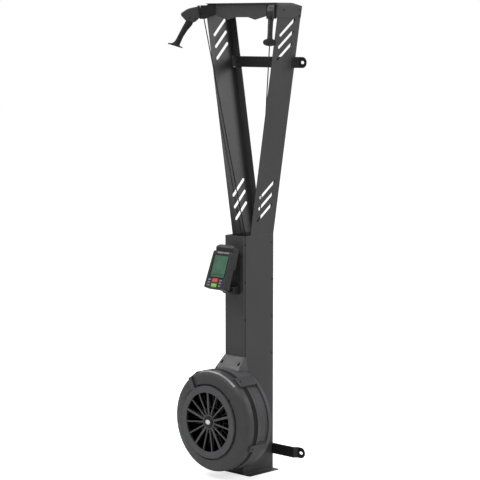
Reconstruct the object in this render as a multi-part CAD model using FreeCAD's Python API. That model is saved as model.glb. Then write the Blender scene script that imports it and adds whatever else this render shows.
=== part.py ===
import FreeCAD, Part
import math
import os
from FreeCAD import Vector

os.makedirs("parts", exist_ok=True)

# Lengths are in millimetres and angles in degrees.
# X runs to the skier's right, Y runs back to the wall and Z runs up.
# The origin is the centre of the base plate's underside.

# Column
column_width = 113.4
column_depth = 195.4
column_height = 1086.0
column_sheet = 2.5
column_flange = 16.0
panel_seam = 0.6
shaft_hole_radius = 31.0

# Base plate
base_overhang = 40.0
base_thickness = 3.0
base_corner = 8.0
base_bolt_radius = 4.5
base_bolt_reach = 60.0

# Arms
arm_sheet = 2.5
arm_lean_share = 0.1656
arm_top_drop = 14.0
arm_front = 46.6
arm_flange = 38.0
arm_foot_drop = 86.0
arm_foot_inset = 16.0
slot_width = 14.0
slot_run = 75.0
slot_rise = 66.0
slot_pitch = 52.5
slot_middle = 118.5
lower_slots_rise = 152.0
upper_slots_drop = 161.0

# Wall bars
bar_height = 49.0
bar_sheet = 5.0
bar_play = 0.5
upper_bar_drop = 262.0
lower_bar_height = 96.0
bar_joggle = 14.0
bar_joggle_gap = 5.5
bar_hole_reach = 33.0
bar_end_reach = 22.5
bar_hole_width = 13.0
bar_hole_length = 21.0
notch_depth = 20.0

# Head
head_sheet = 3.0
head_top = 2120.0
cover_edge = 3.0
cover_side_slope = 21.0
cover_rear_slope = 44.0
side_plate_front = 33.0
side_plate_height = 51.0
plate_flat_half = 41.0
plate_flat_drop = 63.0
plate_tip_half = 84.0
plate_tip_drop = 74.5
plate_step_half = 149.0
plate_step_drop = 59.5
plate_notch_half = 156.0
plate_notch_drop = 50.5
plate_end_drop = 59.0

# Cord and its corner in the dock, on the line that the cord follows down to the column
cord_radius = 2.5
cord_corner_inset = 14.1
cord_corner_y = 14.1
cord_corner_drop = 40.0
cord_gap_inset = 9.8
cord_drop_x = 26.0
cord_tail = 10.0
dock_turn_degrees = 50.0
right_pull_tilt_degrees = 3.5
left_pull_tilt_degrees = 11.0

# Pulleys
dock_turn_radius = 8.0
dock_pulley_flange = 9.5
guide_turn_radius = 12.0
guide_pulley_flange = 14.0
pulley_width = 12.0
pulley_groove = 8.0
pulley_pin_radius = 3.0
running_gap = 0.05
moving_gap = 0.4

# Docks
dock_half_width = 22.0
dock_reach = 9.0
dock_bottom_drop = 70.0
dock_top_drop = 9.0
dock_inner_reach = 62.0
dock_inner_drop = 49.0
mouth_start = 8.5
mouth_thickness = 9.0
mouth_half_width = 18.0
mouth_up = 33.5
mouth_down = 28.0
mouth_bore = 5.0
mouth_corner = 8.0

# Handles
handle_gap = 0.7
head_length = 81.0
head_height = 68.5
head_thickness = 26.0
head_round = 4.0
head_face_up = 27.5
head_face_down = 23.5
head_bore_radius = 5.0
head_bore_depth = 34.0
grip_start_along = 47.0
grip_start_drop = 29.0
grip_reach = 69.5
grip_drop = 78.0
foot_along = 131.0
foot_drop = 120.0
foot_tilt_degrees = 28.0
foot_length = 68.0
foot_width = 57.0
foot_thickness = 5.0
ferrule_radius = 4.6
ferrule_length = 10.0
grip_half_depth = 17.0
grip_half_width = 12.0
# the head's outline: (along its length, up its height)
head_outline_shares = [(0.049, 0.438), (0.43, 0.423), (0.617, 0.390), (0.926, 0.239), (1.0, 0.131),
                       (0.96, 0.0), (0.80, -0.307), (0.457, -0.562), (0.272, -0.511), (0.148, -0.423),
                       (0.074, -0.358)]
# the grip's middle line: (along its reach, down its drop)
grip_line_shares = [(0.0, 0.0), (0.140, 0.140), (0.370, 0.328), (0.554, 0.510), (0.740, 0.697),
                    (0.883, 0.867), (1.0, 1.0)]
# the grip's thickness at each of those places: (of its half depth, of its half width)
grip_size_shares = [(1.0, 0.967), (0.965, 0.967), (0.829, 0.95), (0.759, 0.933), (0.718, 0.917),
                    (0.729, 0.933), (0.776, 1.0)]
# the flare from the grip to its foot: (along the flare, of the growth in size)
foot_flare_shares = [(0.45, 0.06), (0.75, 0.22), (0.93, 0.55)]
oval_points = 24

# Fan housing
shell_radius = 230.0
shell_floor_gap = 33.0
cover_inset = 2.0
cover_wall = 3.0
cover_back = 88.0
cover_front = 165.0
cover_rim_drop = 26.0
cover_bend_drop = 13.0
cover_bend_inset = 8.0
groove_width = 7.0
groove_lip = 3.0
groove_floor = 158.0
grill_outer_radius = 163.0
grill_ring_width = 29.5
grill_front = 174.0
grill_sheet = 4.0
spoke_depth = 5.0
spoke_sink = 1.0
wide_spoke = 10.0
thin_spoke = 6.0
spoke_count = 15
wide_every = 3
first_spoke_degrees = 18.0
grill_hub_radius = 34.0
grill_hub_front = 166.5
cap_radius = 27.0
cap_height = 4.0
mesh_inset = 6.0
mesh_sheet = 1.6
mesh_front = 96.0
shell_sheet = 4.0
shell_front = 86.0
window_top_degrees = 47.0
window_bottom_degrees = -20.0
window_front = 80.0
window_back = 18.0
neck_top_rise = 48.0
neck_shoulder_rise = 18.0
neck_foot_sink = 6.0
neck_top_half = 62.0
neck_foot_half = 72.0
neck_shoulder_reach = 27.0
neck_foot_reach = 50.0
neck_wrap = 12.0
neck_hole_place = 52.0
neck_hole_width = 11.0
neck_hole_height = 15.0
clamp_depth = 108.0
clamp_start = 14.0
clamp_height = 8.0
upper_clamp_width = 54.0
lower_clamp_width = 30.0
upper_clamp_degrees = 54.0
lower_clamp_degrees = -25.0

# Damper
damper_inset = 1.4
damper_sheet = 3.0
collar_inset = 15.0
collar_depth = 9.0
collar_wall = 3.0
lever_degrees = 120.0
lever_travel_degrees = 66.0
lever_neck_width = 16.0
lever_gap = 1.2
lever_plate_sheet = 3.0
lever_plate_width = 16.0
lever_plate_tip_width = 10.0
lever_grip_width = 23.0
lever_grip_tip_width = 11.0
lever_grip_low = 2.0
lever_slant = 8.0
lever_grip_rise = 10.0
lever_tip_rise = 4.0

# Fan and shaft
fan_blade_inset = 25.0
fan_front = 136.0
fan_back = 30.0
fan_hub_radius = 42.0
fan_sheet = 3.0
blade_count = 24
blade_start_radius = 62.0
shaft_radius = 8.5
shaft_front = 140.0
shaft_back = 192.0
bearing_radius = 20.0
front_bearing_place = 12.0
front_bearing_width = 12.0
rear_bearing_place = 184.0
rear_bearing_width = 8.0
bearing_plate_sheet = 4.0
bearing_plate_half = 60.0
bearing_flange = 14.0

# Spools and recoil springs
right_spool_place = 125.1
left_spool_place = 156.2
spool_drum_radius = 22.6
spool_flange_radius = 32.0
spool_half_width = 14.4
spool_flange = 2.0
clutch_radius = 13.0
sleeve_radius = 16.0
sleeve_length = 18.0
cup_radius = 44.0
cup_sheet = 2.0
cup_depth = 13.0
cup_hole_radius = 18.0
cup_tab_half = 15.0
spring_strip = 0.8
spring_width = 8.6
spring_pitch = 3.2
spring_turns = 7

# Guide bars inside the column
guide_bar_sheet = 4.0
guide_bar_height = 26.0
guide_bar_gap = 15.0
guide_bar_flange = 14.0

# Monitor
monitor_top_front = 72.0
monitor_top_drop = 63.0
monitor_top_width = 115.0
monitor_foot_width = 127.0
monitor_length = 172.0
monitor_tilt_degrees = 20.0
monitor_corner = 9.0
bezel_depth = 10.0
case_depth = 22.0
case_wall = 2.5
screen_width = 86.0
screen_top = 20.0
screen_bottom = 120.0
screen_depth = 2.0
screen_recess = 1.0
board_inset = 8.0
board_sheet = 1.6
board_depth = 14.0
key_shift = 4.5
key_width = 31.0
key_height = 14.0
red_key_place = 135.0
green_key_place = 158.0
small_key_width = 15.0
small_key_height = 6.5
small_key_side = 34.5
small_key_pitch = 12.5
small_key_top = 134.0
small_key_rows = 3
key_play = 0.4
key_travel = 1.5
key_stand = 2.0
holder_width = 106.0
holder_rise = 34.4
holder_height = 113.8
holder_depth = 51.0
holder_corner = 20.0
# the holder's outline from the side: (down its height, back over its depth)
holder_shares = [(0.302, 0.196), (0.149, 0.084), (0.044, 0.208), (0.0, 0.422), (0.030, 0.696), (0.100, 0.837),
                 (0.324, 0.894), (0.916, 1.0), (1.0, 0.774), (1.0, 0.392)]
hinge_front = 28.0
hinge_drop = 181.0
hinge_pin_radius = 4.0
hinge_barrel_radius = 16.0
hinge_half_width = 33.0
hinge_lug_half = 18.0
bracket_half_width = 33.0
bracket_top_drop = 13.0
bracket_plate = 6.0

# Screws
screw_radius = 4.0
screw_head = 2.0
screw_shank_radius = 2.0

overrun = 20.0

# Places worked out from the sizes above
column_front = -column_depth / 2
column_rear = column_depth / 2
column_side = column_width / 2
column_inside = column_side - column_sheet
bar_front = column_depth - column_sheet - bar_sheet
arm_top = head_top - arm_top_drop
arm_top_half = column_side + arm_lean_share * (arm_top - column_height)
arm_slant_sheet = arm_sheet * math.hypot(1, arm_lean_share)
lower_slots_height = column_height + lower_slots_rise
upper_slots_height = head_top - upper_slots_drop
upper_bar_height = head_top - upper_bar_drop
upper_bar_arm = column_side + arm_lean_share * (upper_bar_height - column_height)
bar_joggle_start = upper_bar_arm + bar_joggle_gap
bar_hole_place = bar_joggle_start + bar_hole_reach
bar_half_width = bar_hole_place + bar_end_reach
cord_corner_x = arm_top_half - cord_corner_inset
cord_corner_z = head_top - cord_corner_drop
cord_gap_x = column_inside - cord_gap_inset
dock_bottom = head_top - dock_bottom_drop
dock_top = head_top - dock_top_drop
dock_inner_bottom = head_top - dock_inner_drop
fan_height = shell_radius + shell_floor_gap
cover_radius = shell_radius - cover_inset
groove_outer_radius = grill_outer_radius + groove_width
face_inner_radius = groove_outer_radius + groove_lip
grill_window_radius = grill_outer_radius - grill_ring_width
damper_outer_radius = groove_outer_radius - damper_inset
collar_radius = grill_outer_radius - collar_inset
mesh_radius = shell_radius - mesh_inset
fan_blade_radius = shell_radius - fan_blade_inset
neck_top = fan_height + shell_radius + neck_top_rise
neck_shoulder = fan_height + shell_radius + neck_shoulder_rise
neck_foot = fan_height + shell_radius - neck_foot_sink
monitor_top_height = column_height - monitor_top_drop
hinge_height = monitor_top_height - hinge_drop
bracket_top = monitor_top_height - bracket_top_drop
diagonal = math.sqrt(2) / 2
up = Vector(0, 0, 1)
back = Vector(0, 1, 0)
aside = Vector(1, 0, 0)
dock_turn = math.radians(dock_turn_degrees)
dock_out = Vector(math.cos(dock_turn), -math.sin(dock_turn), 0)
dock_across = Vector(math.sin(dock_turn), math.cos(dock_turn), 0)
pull_tilts = {1: math.radians(right_pull_tilt_degrees), -1: math.radians(left_pull_tilt_degrees)}
fan_centre = Vector(0, column_front, fan_height)


def box(low, high):
    size = Vector(high) - Vector(low)
    return Part.makeBox(size.x, size.y, size.z, Vector(low))


def rod(radius, start, way, length):
    return Part.makeCylinder(radius, length, start, way)


def ring(outer, inner, start, way, length):
    return rod(outer, start, way, length).cut(rod(inner, start, way, length))


def prism(points, push):
    outline = Part.makePolygon(points + points[:1])
    return Part.Face(outline).extrude(push)


def join(shapes):
    whole = shapes[0]
    for shape in shapes[1:]:
        whole = whole.fuse(shape)
    return whole.removeSplitter()


def mirrored(shape):
    return shape.mirror(Vector(0, 0, 0), aside)


def pair(shape):
    return [shape, mirrored(shape)]


def write(name, shapes):
    Part.makeCompound(shapes).exportStep("parts/" + name + ".step")


def write_sides(name, right_shape, left_shape=None):
    write("right_" + name, [right_shape])
    write("left_" + name, [mirrored(left_shape or right_shape)])


def behind(distance):
    """Y of a place that lies this far behind the column's front face."""
    return column_front + distance


def arm_outside(height):
    """X of the right arm's outer face at a height."""
    return column_side + arm_lean_share * max(height - column_height, 0)


def revolved(profile):
    """Turn a profile of (radius, distance ahead of the column) about the fan's axis."""
    points = [Vector(radius, column_front - ahead, fan_height) for radius, ahead in profile]
    face = Part.Face(Part.makePolygon(points + points[:1]))
    return face.revolve(fan_centre, back, 360)


def at_angle(shape, degrees):
    """Turn a shape that lies along +X so that it stands at an angle up from +X about the fan's axis."""
    turned = shape.copy()
    turned.rotate(fan_centre, back, -degrees)
    return turned


def sector(inner, outer, first, last, front, rear):
    """A block of a ring between two angles, from a front to a rear distance ahead of the column."""
    def place(radius, degrees):
        turn = math.radians(degrees)
        return Vector(radius * math.cos(turn), column_front - front, fan_height + radius * math.sin(turn))
    middle = (first + last) / 2
    outer_arc = Part.Arc(place(outer, first), place(outer, middle), place(outer, last)).toShape()
    inner_arc = Part.Arc(place(inner, last), place(inner, middle), place(inner, first)).toShape()
    last_side = Part.makeLine(place(outer, last), place(inner, last))
    first_side = Part.makeLine(place(inner, first), place(outer, first))
    return Part.Face(Part.Wire([outer_arc, last_side, inner_arc, first_side])).extrude(back * (front - rear))


# Base and column

def base_plate():
    half = column_side + base_overhang
    plate = box((-half, column_front, 0), (half, column_rear, base_thickness))
    edges = [edge for edge in plate.Edges if abs(edge.tangentAt(edge.FirstParameter).z) > diagonal]
    plate = plate.makeFillet(base_corner, edges)
    bolt_x = column_side + base_overhang / 2
    for x in (-bolt_x, bolt_x):
        for y in (-base_bolt_reach, base_bolt_reach):
            plate = plate.cut(rod(base_bolt_radius, Vector(x, y, -overrun), up, 2 * overrun))
    return plate


def column_side_sheet():
    low = base_thickness
    wall = box((column_inside, column_front, low), (column_side, column_rear, column_height))
    flange_reach = column_inside - column_flange
    front_flange = box((flange_reach, column_front + column_sheet, low),
                       (column_inside, column_front + 2 * column_sheet, column_height))
    rear_flange = box((flange_reach, column_rear - 2 * column_sheet, low),
                      (column_inside, column_rear - column_sheet, column_height))
    floor_flange = box((flange_reach, column_front + 2 * column_sheet, low),
                       (column_inside, column_rear - 2 * column_sheet, low + column_sheet))
    sheet = join([wall, front_flange, rear_flange, floor_flange])
    return sheet.cut(bar_window(lower_bar_height))


def bar_window(height):
    """The room that a wall bar takes where it passes through a sheet."""
    half = bar_height / 2 + bar_play
    return box((0, behind(bar_front - bar_play), height - half),
               (bar_half_width, behind(bar_front + bar_sheet + bar_play), height + half))


def column_panel(front, rear, holes):
    half = column_inside - panel_seam
    panel = box((-half, front, base_thickness), (half, rear, column_height))
    if holes:
        hole = rod(shaft_hole_radius, Vector(0, front - overrun, fan_height), back, 3 * overrun)
        panel = panel.cut(hole)
    return panel


# Arms

def leaning_sheet(outside_shift, low, high, front, rear):
    """A sheet that follows the right arm's lean, its outer face shifted outward by outside_shift."""
    outer_low = arm_outside(low) + outside_shift
    outer_high = arm_outside(high) + outside_shift
    points = [Vector(outer_low, front, low), Vector(outer_high, front, high),
              Vector(outer_high - arm_slant_sheet, front, high),
              Vector(outer_low - arm_slant_sheet, front, low)]
    return prism(points, Vector(0, rear - front, 0))


def slanted_slot(centre_height):
    """A round-ended slot through the right arm, rising towards the wall."""
    half_run = slot_run / 2
    half_rise = slot_rise / 2
    length = math.hypot(slot_run, slot_rise)
    way = Vector(0, slot_run / length, slot_rise / length)
    side = Vector(0, -way.z, way.y) * (slot_width / 2)
    low = Vector(0, behind(slot_middle) - half_run, centre_height - half_rise)
    high = Vector(0, behind(slot_middle) + half_run, centre_height + half_rise)
    push = Vector(arm_outside(arm_top) + overrun, 0, 0)
    bar = prism([low - side, high - side, high + side, low + side], push)
    return join([bar, rod(slot_width / 2, low, aside, push.x), rod(slot_width / 2, high, aside, push.x)])


def arm():
    front = behind(arm_front)
    foot = box((column_inside - arm_sheet, front + arm_foot_inset, column_height - arm_foot_drop),
               (column_inside, column_rear - arm_foot_inset, column_height))
    shelf = box((column_inside - arm_sheet, front + arm_foot_inset, column_height),
                (column_side - arm_sheet / 2, column_rear - arm_foot_inset, column_height + arm_sheet))
    plate = leaning_sheet(0, column_height, arm_top, front, column_rear)
    low_x = column_side
    high_x = arm_outside(arm_top)
    flange_points = [Vector(low_x, column_rear - arm_sheet, column_height),
                     Vector(high_x, column_rear - arm_sheet, arm_top),
                     Vector(high_x - arm_flange, column_rear - arm_sheet, arm_top),
                     Vector(low_x - arm_flange, column_rear - arm_sheet, column_height)]
    flange = prism(flange_points, Vector(0, arm_sheet, 0))
    whole = join([foot, shelf, plate, flange])
    for group_height in (lower_slots_height, upper_slots_height):
        for step in (-1, 0, 1):
            whole = whole.cut(slanted_slot(group_height + step * slot_pitch))
    notch_outside = arm_outside(upper_bar_height) + overrun
    notch_half = bar_height / 2 + bar_play
    notch = box((notch_outside - 2 * overrun, column_rear - notch_depth, upper_bar_height - notch_half),
                (notch_outside, column_rear - arm_sheet, upper_bar_height + notch_half))
    return whole.cut(notch)


# Wall bars

def wall_bar(height):
    low = height - bar_height / 2
    front = behind(bar_front)
    rear = front + bar_sheet
    bend = bar_joggle_start + bar_joggle
    end_radius = bar_height / 2
    tab_end = bar_half_width - end_radius
    points = [Vector(0, front, low), Vector(bar_joggle_start, front, low),
              Vector(bend, front + bar_joggle, low), Vector(tab_end, front + bar_joggle, low),
              Vector(tab_end, rear + bar_joggle, low), Vector(bend - bar_sheet / 2, rear + bar_joggle, low),
              Vector(bar_joggle_start - bar_sheet / 2, rear, low), Vector(0, rear, low)]
    half = prism(points, up * bar_height)
    tab_front = Vector(tab_end, front + bar_joggle, height)
    half = join([half, rod(end_radius, tab_front, back, bar_sheet)])
    hole_radius = bar_hole_width / 2
    hole_half = bar_hole_length / 2 - hole_radius
    hole = box((bar_hole_place - hole_half, front - overrun, height - hole_radius),
               (bar_hole_place + hole_half, rear + overrun, height + hole_radius))
    for place in (bar_hole_place - hole_half, bar_hole_place + hole_half):
        hole = hole.fuse(rod(hole_radius, Vector(place, front - overrun, height), back, 3 * overrun))
    half = half.cut(hole)
    return join(pair(half))


# Head

def head_front_plate():
    front = behind(arm_front) - head_sheet
    half_outline = [(cover_shoulder(), head_top - cover_edge), (arm_outside(arm_top), arm_top),
                    (arm_outside(head_top - plate_end_drop), head_top - plate_end_drop),
                    (plate_notch_half, head_top - plate_notch_drop),
                    (plate_step_half, head_top - plate_step_drop),
                    (plate_tip_half, head_top - plate_tip_drop),
                    (plate_flat_half, head_top - plate_flat_drop)]
    right = [Vector(x, front, z) for x, z in half_outline]
    left = [Vector(-x, front, z) for x, z in reversed(half_outline)]
    return prism(right + left, Vector(0, head_sheet, 0))


def cover_shoulder():
    """Half the width of the top cover's flat top."""
    return arm_outside(arm_top) + head_sheet - cover_side_slope


def cover_block(shrink):
    """The top cover's outer form, drawn in on every side by the sheet where it is hollowed."""
    base_half = arm_outside(arm_top) + head_sheet - shrink
    top_half = cover_shoulder() - shrink
    front = behind(side_plate_front) + shrink
    rear = column_rear - shrink
    top_rear = rear - cover_rear_slope
    top = head_top - shrink
    low = arm_top - shrink
    bottom = Part.makePolygon([Vector(-base_half, front, low), Vector(base_half, front, low),
                               Vector(base_half, rear, low), Vector(-base_half, rear, low),
                               Vector(-base_half, front, low)])
    lid = Part.makePolygon([Vector(-top_half, front, top), Vector(top_half, front, top),
                            Vector(top_half, top_rear, top), Vector(-top_half, top_rear, top),
                            Vector(-top_half, front, top)])
    return Part.makeLoft([bottom, lid], True, True)


def head_top_cover():
    shell = cover_block(0).cut(cover_block(cover_edge))
    plate_front = behind(arm_front) - head_sheet
    # the front plate stands in the cover's front, up to the cover's top sheet
    half = arm_outside(arm_top) + overrun
    front_room = box((-half, behind(side_plate_front) - overrun, arm_top - overrun),
                     (half, plate_front + head_sheet, head_top - cover_edge))
    return shell.cut(front_room)


def head_side_plate():
    return leaning_sheet(arm_slant_sheet, arm_top - side_plate_height, arm_top,
                         behind(side_plate_front), column_rear)


# Docks, cords and pulleys

def dock_point(out, across, height):
    base = Vector(cord_corner_x, behind(cord_corner_y), height)
    return base + dock_out * out + dock_across * across


def pull_way(side):
    """Direction of a side's pull, in the right-hand position."""
    return dock_out * math.cos(pull_tilts[side]) - up * math.sin(pull_tilts[side])


def pull_lift(side):
    """Upward direction square to a side's pull, in the right-hand position."""
    return dock_out * math.sin(pull_tilts[side]) + up * math.cos(pull_tilts[side])


def unit(vector):
    return vector * (1 / vector.Length)


def corner_centre(before, corner, after, radius):
    """Centre of the arc of a given radius that rounds a corner."""
    inward = unit(before - corner)
    outward = unit(after - corner)
    half_turn = (math.pi - inward.getAngle(outward)) / 2
    return corner + unit(inward + outward) * (radius / math.cos(half_turn))


def rounded_path(points, radii):
    """Straight runs joined by tangent arcs."""
    edges = []
    start = points[0]
    for before, corner, after, radius in zip(points, points[1:], points[2:], radii):
        inward = unit(before - corner)
        outward = unit(after - corner)
        centre = corner_centre(before, corner, after, radius)
        reach = radius * math.tan((math.pi - inward.getAngle(outward)) / 2)
        first = corner + inward * reach
        last = corner + outward * reach
        middle = centre + unit(corner - centre) * radius
        edges.append(Part.LineSegment(start, first).toShape())
        edges.append(Part.Arc(first, middle, last).toShape())
        start = last
    edges.append(Part.LineSegment(start, points[-1]).toShape())
    return Part.Wire(edges)


def cord_points(side):
    """The drive cord's corners from its spool to the dock's mouth, side 1 for right and -1 for left."""
    rise = cord_corner_z - column_height
    slope_x = (cord_corner_x - cord_gap_x) / rise
    fall = (cord_gap_x - side * cord_drop_x) / slope_x
    guide_y = behind(right_spool_place if side == 1 else left_spool_place)
    guide = Vector(cord_drop_x, guide_y, column_height - fall)
    corner = Vector(side * cord_corner_x, behind(cord_corner_y), cord_corner_z)
    way = pull_way(side)
    mouth = corner + Vector(side * way.x, way.y, way.z) * (mouth_start + mouth_thickness)
    low = Vector(cord_drop_x, guide_y, fan_height - cord_drop_x)
    tail = Vector(-cord_tail, guide_y, low.z)
    return [tail, low, guide, corner, mouth]


def cord_radii():
    return [cord_drop_x, guide_turn_radius, dock_turn_radius]


def drive_cord(side):
    points = cord_points(side)
    path = rounded_path(points, cord_radii())
    profile = Part.Wire(Part.makeCircle(cord_radius, points[0], unit(points[1] - points[0])))
    tube = path.makePipeShell([profile], True, False)
    length = path.Length
    print("cord", side, "length", round(length, 1), "volume share",
          round(tube.Volume / (math.pi * cord_radius ** 2 * length), 4), "radii", cord_radii())
    return tube


def spool_place(side):
    return cord_points(side)[0].y


def pulley_centre(side, index):
    points = cord_points(side)
    return corner_centre(points[index - 1], points[index], points[index + 1], cord_radii()[index - 1])


def pulley_axis(side, index):
    """Axle direction of the pulley that carries a corner of the cord, square to both of its runs."""
    points = cord_points(side)
    below = points[index] - points[index - 1]
    beyond = points[index + 1] - points[index]
    return unit(below.cross(beyond))


def pulley(side, index, flange_radius):
    centre = pulley_centre(side, index)
    axis = pulley_axis(side, index)
    start = centre - axis * (pulley_width / 2)
    groove_radius = cord_radii()[index - 1] - cord_radius - moving_gap
    wheel = rod(flange_radius, start, axis, pulley_width)
    groove_start = centre - axis * (pulley_groove / 2)
    wheel = wheel.cut(ring(flange_radius + overrun, groove_radius, groove_start, axis, pulley_groove))
    return wheel.cut(rod(pulley_pin_radius + running_gap, start, axis, pulley_width))


def dock(side):
    """One dock in the right-hand position, with its mouth tilted for its side."""
    outline = [(-dock_inner_reach, dock_inner_bottom), (-dock_pulley_flange, dock_bottom),
               (dock_reach, dock_bottom), (dock_reach, dock_top), (-dock_inner_reach, dock_top)]
    points = [dock_point(out, -dock_half_width, height) for out, height in outline]
    body = prism(points, dock_across * (2 * dock_half_width))
    plate_front = behind(arm_front) - head_sheet
    limit = arm_outside(arm_top) + 2 * overrun
    body = body.cut(box((0, plate_front, 0), (limit, column_rear, head_top + overrun)))
    body = join([body.cut(head_side_plate()), dock_mouth(side)])
    centre, axis = dock_axle(side)
    room = dock_pulley_flange + moving_gap
    room_half = pulley_width / 2 + moving_gap
    slot_start = centre - axis * room_half
    slot_side = unit(axis.cross(up)) * room
    drop = up * (centre.z - dock_bottom + overrun)
    slot = prism([slot_start - slot_side, slot_start + slot_side, slot_start + slot_side - drop,
                  slot_start - slot_side - drop], axis * (2 * room_half))
    slot = join([slot, rod(room, slot_start, axis, 2 * room_half)])
    body = body.cut(slot)
    corner = dock_point(0, 0, cord_corner_z)
    body = body.cut(rod(mouth_bore, corner, pull_way(side), mouth_start + mouth_thickness + overrun))
    guide = cord_points(side)[2]
    inward = unit(Vector(side * guide.x, guide.y, guide.z) - corner)
    body = body.cut(rod(mouth_bore, corner, inward, cord_corner_z - dock_bottom + overrun))
    pin_start = centre - axis * (dock_half_width + overrun)
    return body.cut(rod(pulley_pin_radius, pin_start, axis, 2 * (dock_half_width + overrun)))


def dock_axle(side):
    """Centre and direction of a dock's axle, in the right-hand position."""
    centre = pulley_centre(side, 3)
    axis = pulley_axis(side, 3)
    if side == 1:
        return centre, axis
    return Vector(-centre.x, centre.y, centre.z), Vector(-axis.x, axis.y, axis.z)


def dock_mouth(side):
    """The collar round the cord's way out, square to the pull."""
    way = pull_way(side)
    lift = pull_lift(side)
    start = dock_point(0, 0, cord_corner_z) + way * mouth_start
    half = dock_across * mouth_half_width
    corners = [start - half - lift * mouth_down, start + half - lift * mouth_down,
               start + half + lift * mouth_up, start - half + lift * mouth_up]
    collar = prism(corners, way * mouth_thickness)
    edges = [edge for edge in collar.Edges
             if abs(edge.tangentAt(edge.FirstParameter).dot(way)) > diagonal]
    return collar.makeFillet(mouth_corner, edges)


def dock_pin(side):
    centre = pulley_centre(side, 3)
    axis = pulley_axis(side, 3)
    return rod(pulley_pin_radius, centre - axis * dock_half_width, axis, 2 * dock_half_width)


def guide_pin(side):
    """Axle of a guide pulley, from its free side to the guide bar that carries it."""
    centre = pulley_centre(side, 2)
    axis = pulley_axis(side, 2)
    if axis.y < 0:
        axis = axis * -1
    to_bar = (guide_bar_gap + guide_bar_sheet) / axis.y
    half = pulley_width / 2 + guide_bar_sheet / 2
    return rod(pulley_pin_radius, centre - axis * half, axis, half + to_bar)


def guide_bar(side):
    """A flat bar across the column behind a guide pulley, with an end flange on each column side."""
    centre = pulley_centre(side, 2)
    front = centre.y + guide_bar_gap
    rear = front + guide_bar_sheet
    low = centre.z - guide_bar_height / 2
    high = centre.z + guide_bar_height / 2
    plate = box((-column_inside, front, low), (column_inside, rear, high))
    flange = box((column_inside - guide_bar_sheet, front, low),
                 (column_inside, rear + guide_bar_flange, high))
    bar = join([plate] + pair(flange))
    return bar.cut(guide_pin(side))


# Handles, each drawn in the right-hand position in its own plane:
# along the pull from its face on the dock's mouth, and up square to the pull

def handle_point(side, along, rise, across):
    face = dock_point(0, 0, cord_corner_z) + pull_way(side) * (mouth_start + mouth_thickness + handle_gap)
    return face + pull_way(side) * along + pull_lift(side) * rise + dock_across * across


def head_block(side):
    half = head_thickness / 2
    outline = [(0, head_face_up)]
    outline += [(along * head_length, rise * head_height) for along, rise in head_outline_shares]
    outline += [(0, -head_face_down)]
    points = [handle_point(side, along, rise, -half) for along, rise in outline]
    return prism(points, dock_across * head_thickness)


def handle_head(side):
    block = head_block(side)
    face = handle_point(side, 0, 0, 0)
    rims = [edge for edge in block.Edges
            if abs(edge.tangentAt(edge.FirstParameter).dot(dock_across)) < diagonal
            and abs((edge.CenterOfMass - face).dot(pull_way(side))) > moving_gap]
    head = block.makeChamfer(head_round, rims)
    bore_start = face - pull_way(side) * overrun
    return head.cut(rod(head_bore_radius, bore_start, pull_way(side), head_bore_depth + overrun))


def oval(centre, long_way, long_half, short_half):
    """A closed oval in a handle's plane: long_half along long_way and short_half across."""
    points = []
    for step in range(oval_points):
        turn = 2 * math.pi * step / oval_points
        points.append(centre + long_way * (long_half * math.cos(turn))
                      + dock_across * (short_half * math.sin(turn)))
    curve = Part.BSplineCurve()
    curve.interpolate(Points=points, PeriodicFlag=True)
    return Part.Wire(curve.toShape())


def handle_grip(side):
    """The rubber grip with its flared foot, trimmed where it meets the head."""
    places = [handle_point(side, grip_start_along + along * grip_reach,
                           -grip_start_drop - drop * grip_drop, 0) for along, drop in grip_line_shares]
    sections = []
    for index, (depth_share, width_share) in enumerate(grip_size_shares):
        first = places[max(index - 1, 0)]
        last = places[min(index + 1, len(places) - 1)]
        sections.append(oval(places[index], unit(dock_across.cross(last - first)),
                             depth_share * grip_half_depth, width_share * grip_half_width))
    neck_long = unit(dock_across.cross(places[-1] - places[-2]))
    neck_plane = grip_size_shares[-1][0] * grip_half_depth
    neck_across = grip_size_shares[-1][1] * grip_half_width
    tilt = math.radians(foot_tilt_degrees)
    foot_long = pull_way(side) * -math.cos(tilt) - pull_lift(side) * math.sin(tilt)
    foot_down = pull_way(side) * math.sin(tilt) - pull_lift(side) * math.cos(tilt)
    foot = handle_point(side, foot_along, -foot_drop, 0)
    for along, spread in foot_flare_shares:
        centre = places[-1] + (foot - places[-1]) * along
        long_way = unit(neck_long * (1 - along) + foot_long * along)
        sections.append(oval(centre, long_way, neck_plane + (foot_length / 2 - neck_plane) * spread,
                             neck_across + (foot_width / 2 - neck_across) * spread))
    sections.append(oval(foot, foot_long, foot_length / 2, foot_width / 2))
    sections.append(oval(foot + foot_down * foot_thickness, foot_long, foot_length / 2, foot_width / 2))
    return Part.makeLoft(sections, True, True).cut(head_block(side))


def handle_cord(side):
    """The short free stretch of the cord between the dock's mouth and its ferrule in the handle."""
    way = pull_way(side)
    mouth = dock_point(0, 0, cord_corner_z) + way * (mouth_start + mouth_thickness)
    reach = handle_gap + head_bore_depth - ferrule_length - moving_gap
    cord = rod(cord_radius, mouth, way, reach)
    ferrule = rod(ferrule_radius, mouth + way * reach, way, ferrule_length)
    return join([cord, ferrule])


# Fan housing

def rear_housing():
    disc_thickness = shell_sheet
    profile = [(shaft_hole_radius, 0), (shell_radius, 0), (shell_radius, shell_front),
               (shell_radius - shell_sheet, shell_front), (shell_radius - shell_sheet, disc_thickness),
               (shaft_hole_radius, disc_thickness)]
    housing = revolved(profile)
    inner = mesh_radius + moving_gap
    window = sector(inner, shell_radius + overrun, window_bottom_degrees, window_top_degrees,
                    window_front, window_back)
    housing = housing.cut(window).cut(mirrored(window))
    return join([housing, housing_neck()])


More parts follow.
